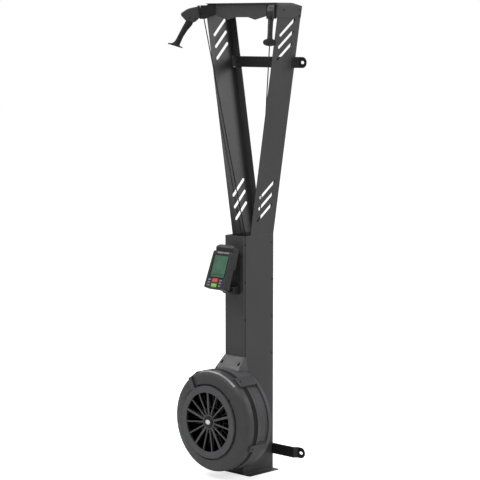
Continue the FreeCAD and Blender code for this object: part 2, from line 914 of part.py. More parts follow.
def housing_neck():
    side_outline = [(0, neck_top), (neck_shoulder_reach, neck_shoulder), (neck_foot_reach, neck_foot),
                    (neck_foot_reach, fan_height), (0, fan_height)]
    points = [Vector(-neck_foot_half, column_front - ahead, height) for ahead, height in side_outline]
    neck = prism(points, Vector(2 * neck_foot_half, 0, 0))
    front_outline = [(-neck_top_half, neck_top), (neck_top_half, neck_top),
                     (neck_foot_half, neck_foot), (neck_foot_half, fan_height),
                     (-neck_foot_half, fan_height), (-neck_foot_half, neck_foot)]
    front_points = [Vector(x, column_front - neck_foot_reach, z) for x, z in front_outline]
    neck = neck.common(prism(front_points, Vector(0, neck_foot_reach, 0)))
    wrap_outline = [(column_side, neck_top), (neck_top_half, neck_top), (neck_foot_half, neck_foot),
                    (neck_foot_half, fan_height), (column_side, fan_height)]
    wrap = prism([Vector(x, column_front, z) for x, z in wrap_outline], Vector(0, neck_wrap, 0))
    neck = join([neck] + pair(wrap))
    clear = rod(shell_radius, Vector(0, column_front - neck_foot_reach - overrun, fan_height), back,
                neck_foot_reach + neck_wrap + 2 * overrun)
    neck = neck.cut(clear)
    for hole in pair(neck_hole()):
        neck = neck.cut(hole)
    return neck


def neck_hole():
    """The upright oval hole in the right side of the neck's shoulder."""
    radius = neck_hole_width / 2
    spread = up * (neck_hole_height / 2 - radius)
    middle = Vector(neck_hole_place, column_front - neck_foot_reach, neck_shoulder)
    upper = rod(radius, middle + spread, back, neck_foot_reach)
    lower = rod(radius, middle - spread, back, neck_foot_reach)
    between = box(middle - spread - aside * radius, middle + spread + aside * radius + back * neck_foot_reach)
    return join([upper, lower, between])


def mesh_band():
    start = Vector(0, column_front - mesh_front, fan_height)
    return ring(mesh_radius, mesh_radius - mesh_sheet, start, back, mesh_front - shell_sheet)


def front_cover():
    inside = cover_radius - cover_wall
    profile = [(cover_radius, cover_back), (cover_radius, cover_front - cover_rim_drop),
               (cover_radius - cover_bend_inset, cover_front - cover_bend_drop),
               (face_inner_radius, cover_front), (groove_outer_radius, cover_front),
               (groove_outer_radius, groove_floor), (collar_radius - collar_wall, groove_floor),
               (collar_radius - collar_wall, groove_floor - collar_depth),
               (collar_radius, groove_floor - collar_depth), (collar_radius, groove_floor - cover_wall),
               (face_inner_radius, groove_floor - cover_wall), (face_inner_radius, cover_front - cover_wall),
               (inside - cover_bend_inset, cover_front - cover_bend_drop - cover_wall),
               (inside, cover_front - cover_rim_drop - cover_wall / 2), (inside, cover_back)]
    cover = revolved(profile)
    neck_half = lever_neck_width / 2
    spare = math.degrees(math.atan2(neck_half + lever_gap, grill_outer_radius))
    track = sector(grill_outer_radius + moving_gap, groove_outer_radius - moving_gap,
                   lever_degrees - lever_travel_degrees - spare, lever_degrees + spare,
                   groove_floor + cover_wall, groove_floor - cover_wall - lever_gap)
    return cover.cut(track)


def front_grill():
    profile = [(grill_window_radius, grill_front), (grill_outer_radius, grill_front),
               (grill_outer_radius, groove_floor), (grill_outer_radius - grill_sheet, groove_floor),
               (grill_outer_radius - grill_sheet, grill_front - grill_sheet),
               (grill_window_radius, grill_front - grill_sheet)]
    grill = revolved(profile)
    hub_start = Vector(0, column_front - grill_hub_front, fan_height)
    hub = rod(grill_hub_radius, hub_start, back, spoke_sink + spoke_depth)
    spokes = []
    for index in range(spoke_count):
        width = wide_spoke if index % wide_every == 0 else thin_spoke
        spokes.append(at_angle(grill_spoke(width), first_spoke_degrees + index * 360 / spoke_count))
    return join([grill, hub] + spokes)


def grill_spoke(width):
    """A spoke along +X that slopes in from the ring to the hub."""
    inner = grill_hub_radius - grill_sheet
    outer = grill_window_radius + grill_sheet
    inner_ahead = grill_hub_front - spoke_sink
    outer_ahead = grill_front - spoke_sink
    outline = [(inner, inner_ahead), (outer, outer_ahead), (outer, outer_ahead - spoke_depth),
               (inner, inner_ahead - spoke_depth)]
    points = [Vector(radius, column_front - ahead, fan_height - width / 2) for radius, ahead in outline]
    return prism(points, up * width)


def hub_cap():
    base = Vector(0, column_front - grill_hub_front - cap_height, fan_height)
    cap = rod(cap_radius, base, back, cap_height)
    front_edges = [edge for edge in cap.Edges if abs(edge.CenterOfMass.y - base.y) < running_gap
                   and edge.Length > 2 * cap_radius]
    return cap.makeFillet(cap_height / 2, front_edges)


def clamp(width, degrees):
    """A strap from the rear housing's rim over the mesh to the front cover."""
    inner = shell_radius
    front = clamp_start + clamp_depth
    low_y = column_front - front
    strap = box((inner - overrun, low_y, fan_height - width / 2),
                (inner + clamp_height, column_front - clamp_start, fan_height + width / 2))
    step = column_front - shell_front
    strap = strap.cut(rod(inner, Vector(0, step, fan_height), back, front))
    strap = strap.cut(rod(cover_radius, Vector(0, low_y - overrun, fan_height), back, step - low_y + overrun))
    head_edges = [edge for edge in strap.Edges
                  if edge.CenterOfMass.x > inner + clamp_height - running_gap]
    strap = strap.makeFillet(clamp_height / 3, head_edges)
    screw_centre = clamp_screw_place()
    hole_start = screw_centre - aside * (clamp_height + overrun)
    hole = rod(screw_shank_radius, hole_start, aside, 2 * overrun + clamp_height)
    return at_angle(strap.cut(hole), degrees)


def clamp_screw_place():
    """Where a clamp's screw enters, on a clamp that lies along +X."""
    ahead = clamp_start + clamp_depth - 2 * clamp_height
    return Vector(shell_radius + clamp_height, column_front - ahead, fan_height)


def clamp_screw(degrees):
    """A pan head screw that holds a clamp's front end to the cover."""
    place = clamp_screw_place()
    head = rod(screw_radius, place, aside, screw_head)
    shank = rod(screw_shank_radius, place - aside * clamp_height, aside, clamp_height)
    return at_angle(join([head, shank]), degrees)


def clamp_angles():
    return [(upper_clamp_width, upper_clamp_degrees), (upper_clamp_width, 180 - upper_clamp_degrees),
            (lower_clamp_width, lower_clamp_degrees), (lower_clamp_width, 180 - lower_clamp_degrees)]


# Damper

def damper_ring():
    front = groove_floor - cover_wall - moving_gap
    inner = collar_radius + moving_gap
    profile = [(inner, front), (damper_outer_radius, front),
               (damper_outer_radius, front - damper_sheet), (inner, front - damper_sheet)]
    plate = revolved(profile)
    neck_inner = grill_outer_radius + 2 * moving_gap
    neck = box((neck_inner, column_front - cover_front - lever_gap, fan_height - lever_neck_width / 2),
               (damper_outer_radius, column_front - front, fan_height + lever_neck_width / 2))
    lever = join([neck, lever_plate(neck_inner), lever_grip(neck_inner)])
    return join([plate, at_angle(lever, lever_degrees)])


def lever_under(inner):
    """The lever's underside as (radius, distance ahead), just clear of the cover's face."""
    return [(inner, cover_front + lever_gap), (face_inner_radius, cover_front + lever_gap),
            (cover_radius - cover_bend_inset + lever_gap, cover_front - cover_bend_drop + lever_gap)]


def lever_bar(side_outline, low, width, tip_low, tip_width):
    """A bar of the lever from its side outline, its edges slanting from the neck to the tip."""
    inner = side_outline[0][0]
    tip = max(radius for radius, ahead in side_outline)
    bottom = fan_height + min(low, tip_low)
    height = max(low + width, tip_low + tip_width) - min(low, tip_low)
    side_points = [Vector(radius, column_front - ahead, bottom) for radius, ahead in side_outline]
    front = column_front - cover_front - overrun
    plan = [Vector(inner, front, fan_height + low), Vector(tip, front, fan_height + tip_low),
            Vector(tip, front, fan_height + tip_low + tip_width),
            Vector(inner, front, fan_height + low + width)]
    return prism(side_points, up * height).common(prism(plan, back * (2 * overrun)))


def lever_plate(inner):
    """The lever's thin foot plate, which lies along the cover's face."""
    under = lever_under(inner)
    over = [(radius, ahead + lever_plate_sheet) for radius, ahead in under]
    low = -lever_grip_low - lever_plate_width
    tip_low = -lever_grip_low + lever_slant - lever_plate_tip_width
    return lever_bar(under + over[::-1], low, lever_plate_width, tip_low, lever_plate_tip_width)


def lever_grip(inner):
    """The raised bar along the plate's edge, narrower at its tip, that a hand pushes."""
    under = lever_under(inner)
    over = [(under[-1][0], cover_front + lever_tip_rise), (inner, cover_front + lever_grip_rise)]
    return lever_bar(under + over, -lever_grip_low, lever_grip_width,
                     -lever_grip_low + lever_slant, lever_grip_tip_width)


# Fan and shaft

def fan_wheel():
    disc_start = Vector(0, column_front - fan_back - fan_sheet, fan_height)
    disc = rod(fan_blade_radius, disc_start, back, fan_sheet)
    hub_start = Vector(0, column_front - fan_front, fan_height)
    hub = rod(fan_hub_radius, hub_start, back, fan_front - fan_back)
    parts = [disc, hub]
    for index in range(blade_count):
        blade = box((blade_start_radius, column_front - fan_front, fan_height - fan_sheet / 2),
                    (fan_blade_radius, column_front - fan_back, fan_height + fan_sheet / 2))
        parts.append(at_angle(blade, index * 360 / blade_count))
    inner_ring = revolved([(blade_start_radius, fan_front), (blade_start_radius + fan_sheet, fan_front),
                           (blade_start_radius + fan_sheet, fan_back), (blade_start_radius, fan_back)])
    wheel = join(parts + [inner_ring])
    bore_start = Vector(0, column_front - shaft_front - overrun, fan_height)
    return wheel.cut(rod(shaft_radius, bore_start, back, shaft_front + overrun))


def fan_shaft():
    start = Vector(0, column_front - shaft_front, fan_height)
    return rod(shaft_radius, start, back, shaft_front + shaft_back)


def bearing(place, width):
    start = Vector(0, behind(place), fan_height)
    return ring(bearing_radius, shaft_radius + running_gap, start, back, width)


def bearing_plate(place):
    """A plate across the column that holds a shaft bearing, with a flange on each column side."""
    front = behind(place)
    low = fan_height - bearing_plate_half
    high = fan_height + bearing_plate_half
    plate = box((-column_inside, front, low), (column_inside, front + bearing_plate_sheet, high))
    flange_low = front - bearing_flange + bearing_plate_sheet
    if place < column_depth / 2:
        flange_low = front
    tab_room = cup_tab_half + moving_gap
    flange = box((column_inside - bearing_plate_sheet, flange_low, low),
                 (column_inside, flange_low + bearing_flange, high))
    between = box((column_inside - bearing_plate_sheet, flange_low, fan_height - tab_room),
                  (column_inside, flange_low + bearing_flange, fan_height + tab_room))
    whole = join([plate] + pair(flange.cut(between)))
    return whole.cut(rod(bearing_radius, Vector(0, front - overrun, fan_height), back, 3 * overrun))


# Spools and recoil springs

def spool_way(side):
    """The right spool's spring lies in front of it and the left spool's behind it."""
    return back * (-side)


def spool(side):
    place = Vector(0, spool_place(side), fan_height)
    way = spool_way(side)
    start = place - way * spool_half_width
    width = 2 * spool_half_width
    drum = rod(spool_drum_radius, start, way, width)
    near = rod(spool_flange_radius, start, way, spool_flange)
    far = rod(spool_flange_radius, start + way * (width - spool_flange), way, spool_flange)
    sleeve = rod(sleeve_radius, start, way, width + sleeve_length * 2 / 3)
    body = join([drum, near, far, sleeve])
    bore_length = width + sleeve_length + 2 * overrun
    return body.cut(rod(clutch_radius + running_gap, start - way * overrun, way, bore_length))


def clutch(side):
    place = Vector(0, spool_place(side), fan_height)
    start = place - back * spool_half_width
    return ring(clutch_radius, shaft_radius, start, back, 2 * spool_half_width)


def spring_start(side):
    """Where the recoil spring's inner edge lies, just clear of its spool's flange."""
    way = spool_way(side)
    return Vector(0, spool_place(side), fan_height) + way * (spool_half_width + cup_sheet)


def spring_cup(side):
    way = spool_way(side)
    start = spring_start(side)
    wall = ring(cup_radius, cup_radius - cup_sheet, start, way, cup_depth - cup_sheet)
    floor_start = start + way * (cup_depth - 2 * cup_sheet)
    floor = ring(cup_radius, cup_hole_radius, floor_start, way, cup_sheet)
    low = min(floor_start.y, (floor_start + way * cup_sheet).y)
    tab = box((cup_radius - cup_sheet, low, fan_height - cup_tab_half),
              (column_inside, low + cup_sheet, fan_height + cup_tab_half))
    tab = tab.cut(rod(cup_radius - cup_sheet, Vector(0, low - overrun, fan_height), back, 3 * overrun))
    return join([wall, floor] + pair(tab))


def recoil_spring(side):
    """A flat strip wound outward in half turns from the spool's sleeve to the cup."""
    way = spool_way(side)
    start = spring_start(side) + way * (cup_depth - 2 * cup_sheet - spring_width)
    inner = sleeve_radius + moving_gap + spring_strip
    outer_edges = []
    inner_edges = []
    centre_x = 0.0
    radius = inner
    sign = 1
    for half_turn in range(2 * spring_turns):
        centre = Vector(centre_x, start.y, fan_height)
        for shift, edges in ((spring_strip / 2, outer_edges), (-spring_strip / 2, inner_edges)):
            size = radius + shift
            edges.append(Part.Arc(centre + aside * (sign * size), centre + up * (sign * size),
                                  centre - aside * (sign * size)).toShape())
        next_radius = radius + spring_pitch / 2
        centre_x += sign * (next_radius - radius)
        radius = next_radius
        sign = -sign
    first_cap = Part.makeLine(inner_edges[0].Vertexes[0].Point, outer_edges[0].Vertexes[0].Point)
    last_cap = Part.makeLine(inner_edges[-1].Vertexes[-1].Point, outer_edges[-1].Vertexes[-1].Point)
    edges = Part.sortEdges(outer_edges + inner_edges + [first_cap, last_cap])[0]
    return Part.Face(Part.Wire(edges)).extrude(way * spring_width)


# Monitor

monitor_tilt = math.radians(monitor_tilt_degrees)
face_down = Vector(0, -math.sin(monitor_tilt), -math.cos(monitor_tilt))
face_out = Vector(0, -math.cos(monitor_tilt), math.sin(monitor_tilt))


def face_point(x, down, out):
    """A place on the monitor: across, down from the top edge and out from the front face."""
    top = Vector(0, column_front - monitor_top_front, monitor_top_height)
    return top + aside * x + face_down * down + face_out * out


def face_block(low_x, high_x, top, bottom, rear, front):
    corner = [face_point(low_x, top, rear), face_point(high_x, top, rear),
              face_point(high_x, bottom, rear), face_point(low_x, bottom, rear)]
    return prism(corner, face_out * (front - rear))


def outline_block(inset, rear, front):
    """A block of the monitor's outline, a little wider at its foot, drawn in all round by the inset."""
    top_half = monitor_top_width / 2 - inset
    foot_half = monitor_foot_width / 2 - inset
    foot = monitor_length - inset
    corner = [face_point(-top_half, inset, rear), face_point(top_half, inset, rear),
              face_point(foot_half, foot, rear), face_point(-foot_half, foot, rear)]
    block = prism(corner, face_out * (front - rear))
    edges = [edge for edge in block.Edges
             if abs(edge.tangentAt(edge.FirstParameter).dot(face_out)) > diagonal]
    return block.makeFillet(monitor_corner - inset, edges)


def small_key_places():
    places = []
    for row in range(small_key_rows):
        for x in (-small_key_side, small_key_side):
            places.append((x - key_shift, small_key_top + row * small_key_pitch))
    return places


def key_block(x, place, width, height, grow, rear, front):
    return face_block(x - width / 2 - grow, x + width / 2 + grow, place - height / 2 - grow,
                      place + height / 2 + grow, rear, front)


def key_list():
    keys = [("red_key", -key_shift, red_key_place, key_width, key_height),
            ("green_key", -key_shift, green_key_place, key_width, key_height)]
    names = ["left_key_1", "right_key_1", "left_key_2", "right_key_2", "left_key_3", "right_key_3"]
    for name, (x, place) in zip(names, small_key_places()):
        keys.append((name, x, place, small_key_width, small_key_height))
    return keys


def monitor_bezel():
    bezel = outline_block(0, -bezel_depth, 0)
    bezel = bezel.cut(outline_block(case_wall, -bezel_depth - overrun, -case_wall - screen_recess))
    window = face_block(-screen_width / 2, screen_width / 2, screen_top, screen_bottom, -bezel_depth, overrun)
    bezel = bezel.cut(window)
    for name, x, place, width, height in key_list():
        bezel = bezel.cut(key_block(x, place, width, height, key_play, -bezel_depth, overrun))
    return bezel


def monitor_screen():
    return face_block(-screen_width / 2, screen_width / 2, screen_top, screen_bottom,
                      -screen_recess - screen_depth, -screen_recess)


def monitor_key(x, place, width, height):
    """A key that stands proud of the face and can sink by its travel before it meets the board."""
    rear = -board_depth + key_travel + key_play
    return key_block(x, place, width, height, 0, rear, key_stand)


def circuit_board():
    half = monitor_top_width / 2 - board_inset
    return face_block(-half, half, board_inset, monitor_length - board_inset,
                      -board_depth - board_sheet, -board_depth)


def monitor_case():
    """Back shell with the rounded holder that rises above the face, and the hinge lug at its foot."""
    rear = -bezel_depth - case_depth
    case = outline_block(0, rear, -bezel_depth)
    hollow = outline_block(case_wall, rear + case_wall, -bezel_depth + overrun)
    shell = join([case, holder_block(0), hinge_lug()]).cut(hollow).cut(holder_block(case_wall))
    return join([shell] + board_posts())


def holder_block(inset):
    """The rounded holder behind and above the face, drawn in all round by the inset."""
    half = holder_width / 2 - inset
    points = [face_point(-half, down * holder_height - holder_rise, -rear * holder_depth)
              for down, rear in holder_shares]
    face = Part.Face(Part.makePolygon(points + points[:1]))
    if inset:
        face = face.makeOffset2D(-inset)
    slab = face_block(-half, half, inset - holder_rise, holder_height - holder_rise,
                      -holder_depth - overrun, 0)
    corners = [edge for edge in slab.Edges
               if abs(edge.tangentAt(edge.FirstParameter).dot(face_out)) > diagonal]
    return face.extrude(aside * (2 * half)).common(slab.makeFillet(holder_corner - inset, corners))


def board_posts():
    half = monitor_top_width / 2 - 2 * board_inset
    rear = -bezel_depth - case_depth
    posts = []
    for x in (-half, half):
        for down in (2 * board_inset, monitor_length - 2 * board_inset):
            start = face_point(x, down, rear + case_wall / 2)
            posts.append(rod(case_wall, start, face_out, -board_depth - board_sheet - rear - case_wall / 2))
    return posts


def hinge_centre():
    return Vector(0, column_front - hinge_front, hinge_height)


def hinge_lug():
    """The arm from the case's foot to its barrel round the hinge pin."""
    centre = hinge_centre()
    start = centre - aside * hinge_lug_half
    barrel = rod(hinge_barrel_radius - moving_gap, start, aside, 2 * hinge_lug_half)
    upper = face_point(0, monitor_length - 3 * monitor_corner, -bezel_depth - case_depth / 2)
    lower = face_point(0, monitor_length - monitor_corner / 2, -bezel_depth - case_depth / 2)
    tangent = Vector(0, 0, hinge_barrel_radius - 2 * moving_gap)
    points = [centre + tangent, upper, lower, centre - tangent]
    points = [point - aside * hinge_lug_half for point in points]
    arm_block = prism(points, Vector(2 * hinge_lug_half, 0, 0))
    lug = join([barrel, arm_block])
    bore_start = start - aside * overrun
    return lug.cut(rod(hinge_pin_radius + running_gap, bore_start, aside, 2 * (overrun + hinge_lug_half)))


def monitor_bracket():
    """Moulded housing on the column with two barrels and the pin between them."""
    centre = hinge_centre()
    plate = box((-bracket_half_width, column_front - bracket_plate, hinge_height - hinge_barrel_radius),
                (bracket_half_width, column_front, bracket_top))
    ears = []
    for low in (-hinge_half_width, hinge_lug_half + moving_gap):
        ear_width = hinge_half_width - hinge_lug_half - moving_gap
        start = Vector(low, centre.y, centre.z)
        barrel = rod(hinge_barrel_radius, start, aside, ear_width)
        web = box((low, centre.y, centre.z - hinge_barrel_radius),
                  (low + ear_width, column_front, centre.z + hinge_barrel_radius))
        ears += [barrel, web]
    whole = join([plate] + ears)
    pin_start = centre - aside * hinge_half_width
    pin = rod(hinge_pin_radius, pin_start, aside, 2 * hinge_half_width)
    return join([whole, pin])


# Screws

def side_screws():
    """Screws in the column's sides, the arms' feet and the head's side plates, right side."""
    screws = []
    for distance, height in column_screw_places():
        place = Vector(column_side, behind(distance), height)
        screws.append(rod(screw_radius, place, aside, screw_head))
    lean_way = unit(Vector(1, 0, -arm_lean_share))
    for distance, height in head_screw_places():
        x = arm_outside(height) + arm_slant_sheet
        place = Vector(x, behind(distance), height)
        screws.append(rod(screw_radius, place, lean_way, screw_head))
    return screws


def column_screw_places():
    front_line = 3 * screw_radius
    rear_line = column_depth - 2 * screw_radius
    high = column_height - 10 * screw_radius
    step = (high - neck_top) / 3
    front = [(front_line, high - step * index) for index in range(3)]
    rear = [(rear_line, high - step * index) for index in range(4)]
    return front + rear


def head_screw_places():
    upper = arm_top - side_plate_height / 3
    lower = arm_top - side_plate_height + 2 * screw_radius
    return [(arm_front + 8 * screw_radius, upper), (column_depth - 3 * screw_radius, upper),
            (column_depth - 3 * screw_radius, lower)]


def bar_bolts():
    """Bolts through the lower wall bar's front into the column's rear flange line."""
    bolts = []
    for height in (upper_bar_height, lower_bar_height):
        half = arm_outside(height) - arm_flange / 2
        if height < column_height:
            half = column_inside - column_flange / 2
        for x in (-half, half):
            place = Vector(x, behind(bar_front), height)
            bolts.append(rod(screw_radius, place, -back, screw_head))
    return bolts


def main():
    write("base_plate", [base_plate()])
    write_sides("column_sheet", column_side_sheet())
    write("column_front_panel", [column_panel(column_front, column_front + column_sheet, True)])
    write("column_rear_panel", [column_panel(column_rear - column_sheet, column_rear, False)])
    write_sides("arm", arm())
    write("upper_wall_bar", [wall_bar(upper_bar_height)])
    write("lower_wall_bar", [wall_bar(lower_bar_height)])
    write("head_front_plate", [head_front_plate()])
    write("head_top_cover", [head_top_cover()])
    write("head_side_plates", pair(head_side_plate()))
    write_sides("cord_dock", dock(1), dock(-1))
    write("pulley_pins", [dock_pin(1), dock_pin(-1), guide_pin(1), guide_pin(-1)])
    write("guide_bars", [guide_bar(1), guide_bar(-1)])
    for side, name in ((1, "right"), (-1, "left")):
        write(name + "_drive_cord", [drive_cord(side)])
        write(name + "_dock_pulley", [pulley(side, 3, dock_pulley_flange)])
        write(name + "_guide_pulley", [pulley(side, 2, guide_pulley_flange)])
        write(name + "_spool", [spool(side)])
    write_sides("handle_head", handle_head(1), handle_head(-1))
    write_sides("handle_grip", handle_grip(1), handle_grip(-1))
    write_sides("handle_cord", handle_cord(1), handle_cord(-1))
    write("fan_rear_housing", [rear_housing()])
    write("fan_mesh_band", [mesh_band()])
    write("fan_front_cover", [front_cover()])
    write("fan_front_grill", [front_grill()])
    write("grill_hub_cap", [hub_cap()])
    write("housing_clamps", [clamp(width, degrees) for width, degrees in clamp_angles()])
    write("damper_ring", [damper_ring()])
    write("fan_wheel", [fan_wheel()])
    write("fan_shaft", [fan_shaft()])
    write("shaft_bearings", [bearing(front_bearing_place, front_bearing_width),
                             bearing(rear_bearing_place, rear_bearing_width)])
    write("front_bearing_plate", [bearing_plate(front_bearing_place)])
    write("rear_bearing_plate", [bearing_plate(rear_bearing_place)])
    write("one_way_clutches", [clutch(1), clutch(-1)])
    write("spring_cups", [spring_cup(1), spring_cup(-1)])
    write("recoil_springs", [recoil_spring(1), recoil_spring(-1)])
    write("monitor_bracket", [monitor_bracket()])
    write("monitor_case", [monitor_case()])
    write("monitor_bezel", [monitor_bezel()])
    write("monitor_screen", [monitor_screen()])
    write("circuit_board", [circuit_board()])
    for name, x, place, width, height in key_list():
        write(name, [monitor_key(x, place, width, height)])
    screws = side_screws()
    write("frame_screws", screws + [mirrored(screw) for screw in screws] + bar_bolts())
    write("clamp_screws", [clamp_screw(degrees) for width, degrees in clamp_angles()])


main()
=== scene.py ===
import bmesh
import bpy
import math
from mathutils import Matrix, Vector


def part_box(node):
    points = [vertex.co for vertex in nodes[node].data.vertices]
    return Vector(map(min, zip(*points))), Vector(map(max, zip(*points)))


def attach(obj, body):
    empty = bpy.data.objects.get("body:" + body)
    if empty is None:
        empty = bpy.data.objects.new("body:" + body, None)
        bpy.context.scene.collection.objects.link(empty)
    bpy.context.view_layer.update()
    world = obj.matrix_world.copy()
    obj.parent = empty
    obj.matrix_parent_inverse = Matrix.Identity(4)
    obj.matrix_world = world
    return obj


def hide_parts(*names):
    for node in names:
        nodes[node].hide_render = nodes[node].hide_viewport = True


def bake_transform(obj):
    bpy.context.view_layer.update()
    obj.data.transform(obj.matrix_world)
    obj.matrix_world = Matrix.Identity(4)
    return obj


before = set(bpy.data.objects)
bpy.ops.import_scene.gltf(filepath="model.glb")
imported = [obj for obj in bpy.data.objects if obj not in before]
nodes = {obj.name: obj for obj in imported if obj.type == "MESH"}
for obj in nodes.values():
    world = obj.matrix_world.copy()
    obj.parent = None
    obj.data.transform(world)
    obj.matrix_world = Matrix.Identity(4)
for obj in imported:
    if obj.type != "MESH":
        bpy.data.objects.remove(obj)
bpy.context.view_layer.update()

# Lengths are in metres and angles in degrees.
MM = 0.001
sides = ("right", "left")


def mm(*lengths):
    """Lengths given in millimetres, in metres."""
    return tuple(length * MM for length in lengths)


def both(*names):
    """The names of pieces that both sides have."""
    return [side + "_" + name for side in sides for name in names]


# Camera of the photograph's view
camera_place = Vector((5.7795, -6.0461, 2.0226))
camera_down_degrees = 6.574
camera_turn_degrees = 44.0
camera_lens = 139.87
camera_sensor = 36.0
camera_reach = 100

# Places that pieces of the scene share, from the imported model
fan_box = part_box("fan_front_cover")
fan_axis_height = (fan_box[0].z + fan_box[1].z) / 2
column_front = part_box("column_front_panel")[0].y
merge_distance = 0.01 * MM
smooth_degrees = 35.0

# Monitor
monitor_tilt_degrees = 20.0
monitor_top_front = 72 * MM
monitor_top_height = 1023 * MM

# Handles and the cord's corner in each dock
cord_corner = Vector(mm(211.51, -83.6, 2080))
dock_turn_degrees = 50.0
pull_tilt_degrees = {"right": 3.5, "left": 11.0}
mouth_reach = 18.2 * MM

# The curve between a screen's levels and linear light
srgb_foot = 0.055
srgb_power = 2.4
white = (1.0, 1.0, 1.0, 1.0)


def srgb(*levels):
    """A colour as linear light from its red, green and blue levels of 0 to 255 on a screen."""
    return tuple(((level / 255 + srgb_foot) / (1 + srgb_foot)) ** srgb_power for level in levels) + (1.0,)


def shade(colour, share):
    """The same colour, lighter or darker by a share."""
    return tuple(channel * share for channel in colour[:3]) + (1.0,)


# Node building

# cosines between a rounded and a flat normal, from a full edge to a flat
edge_cosines = (0.86, 0.995)


class Graph:
    """The nodes of a material or world, with short calls for those that are used here."""

    def __init__(self, owner, shader, **sockets):
        owner.use_nodes = True
        self.owner = owner
        self.tree = owner.node_tree
        self.shader = self.tree.nodes[shader]
        self.finish(**sockets)

    def feed(self, target, value):
        """Links another node's output to a socket, or sets a plain value there."""
        if isinstance(value, bpy.types.NodeSocket):
            self.tree.links.new(value, target)
        else:
            target.default_value = value

    def finish(self, **sockets):
        """Feeds the shader's sockets."""
        for name, value in sockets.items():
            self.feed(self.shader.inputs[name.replace("_", " ")], value)
        return self.owner

    def node(self, kind, output, inputs, **settings):
        """One output of a new node."""
        node = self.tree.nodes.new(kind)
        for key, value in settings.items():
            setattr(node, key, value)
        for socket, value in inputs.items():
            self.feed(node.inputs[socket], value)
        return node.outputs[output]

    def stretched(self, scale):
        return self.node("ShaderNodeMapping", "Vector", {"Scale": scale, "Vector": self.place})

    def noise(self, scale, detail=3.0, vector=None):
        inputs = {"Scale": scale, "Detail": detail, "Vector": vector or self.place}
        return self.node("ShaderNodeTexNoise", "Fac", inputs)

    def cells(self, scale, vector=None, feature="F1"):
        inputs = {"Scale": scale, "Vector": vector or self.place}
        return self.node("ShaderNodeTexVoronoi", "Distance", inputs, feature=feature)

    def wave(self, scale, direction, distortion=0.0):
        inputs = {"Scale": scale, "Distortion": distortion, "Vector": self.place}
        return self.node("ShaderNodeTexWave", "Fac", inputs, bands_direction=direction)

    def spread(self, value, low, high, from_low=0.3, from_high=0.7, **settings):
        """A value's range between two limits as a new range."""
        inputs = {"Value": value, "From Min": from_low, "From Max": from_high, "To Min": low,
                  "To Max": high}
        return self.node("ShaderNodeMapRange", "Result", inputs, **settings)

    def times(self, first, second):
        return self.node("ShaderNodeMath", 0, {0: first, 1: second}, operation="MULTIPLY")

    def blend(self, share, first, second):
        """Two colours, in the node's colour sockets 6 and 7 and its colour output 2."""
        return self.node("ShaderNodeMix", 2, {"Factor": share, 6: first, 7: second}, data_type="RGBA")

    def clouded(self, pattern, colour, darker, lighter):
        """A colour that a pattern takes from a darker to a lighter share."""
        return self.blend(self.spread(pattern, 0.0, 1.0), shade(colour, darker), shade(colour, lighter))

    def bump(self, height, distance, strength, below=None):
        inputs = {"Height": height, "Distance": distance, "Strength": strength}
        if below:
            inputs["Normal"] = below
        return self.node("ShaderNodeBump", "Normal", inputs)

    def rounded(self, radius):
        """Normals that turn over each edge as if it were rounded by this radius."""
        return self.node("ShaderNodeBevel", "Normal", {"Radius": radius}, samples=4)

    def edges(self, normal):
        """1 on rounded edges and 0 on flats."""
        flat = self.node("ShaderNodeNewGeometry", "Normal", {})
        cosine = self.node("ShaderNodeVectorMath", "Value", {0: normal, 1: flat}, operation="DOT_PRODUCT")
        return self.spread(cosine, 1.0, 0.0, *edge_cosines)

    def for_camera(self, elsewhere, seen):
        """One value for the camera's rays and another for all others."""
        camera_ray = self.node("ShaderNodeLightPath", "Is Camera Ray", {})
        return self.spread(camera_ray, elsewhere, seen, 0.0, 1.0)


def surface(name, **sockets):
    """The nodes of a new material, with the place on the object that its patterns go by."""
    graph = Graph(bpy.data.materials.new(name), "Principled BSDF", **sockets)
    graph.place = graph.node("ShaderNodeTexCoord", "Object", {})
    return graph


# Materials

# radii by which the shading rounds edges, and depths of the relief in each surface
sheet_edge, plastic_edge, steel_edge, key_edge = mm(1.1, 0.9, 0.5, 1.2)
peel_depth, brush_depth, braid_depth, ring_depth, skin_depth = mm(0.12, 0.05, 0.35, 0.3, 0.08)
key_depth, film_depth, track_depth, tooth_depth = mm(0.05, 0.02, 0.05, 0.03)
key_scatter = 2 * MM


def powder_coat(name, colour, gloss=0.46):
    """Baked paint on sheet steel: fine orange peel, faint clouding, and edges painted lighter as a
    highlight.
    """
    graph = surface(name, Specular_IOR_Level=0.42)
    rounded = graph.rounded(sheet_edge)
    paint = graph.clouded(graph.noise(9.0, 2.0), colour, 0.96, 1.04)
    speckle = graph.spread(graph.noise(1700.0, 1.0), 0.0, 0.16, from_low=0.62, from_high=0.8)
    paint = graph.blend(speckle, paint, shade(colour, 1.9))
    # painted highlight: the colour is lighter on rounded edges, as where they catch light
    paint = graph.blend(graph.times(graph.edges(rounded), 0.42), paint, shade(colour, 2.6))
    return graph.finish(Base_Color=paint,
                        Roughness=graph.spread(graph.noise(55.0), gloss - 0.015, gloss + 0.02),
                        Normal=graph.bump(graph.noise(620.0, 2.0), peel_depth, 0.35, rounded))


def moulded_plastic(name, colour, gloss=0.5, grain=950.0, depth=0.09, edge_highlight=0.22):
    """Injection-moulded plastic with a spark-eroded grain, its edges painted lighter as a highlight."""
    graph = surface(name, Specular_IOR_Level=0.45)
    rounded = graph.rounded(plastic_edge)
    paint = graph.clouded(graph.noise(14.0), colour, 0.92, 1.08)
    # painted highlight: the colour is lighter on rounded edges, as where they catch light
    paint = graph.blend(graph.times(graph.edges(rounded), edge_highlight), paint, shade(colour, 2.0))
    return graph.finish(Base_Color=paint,
                        Roughness=graph.spread(graph.noise(40.0), gloss - 0.06, gloss + 0.08),
                        Normal=graph.bump(graph.cells(grain), depth * MM, 0.4, rounded))


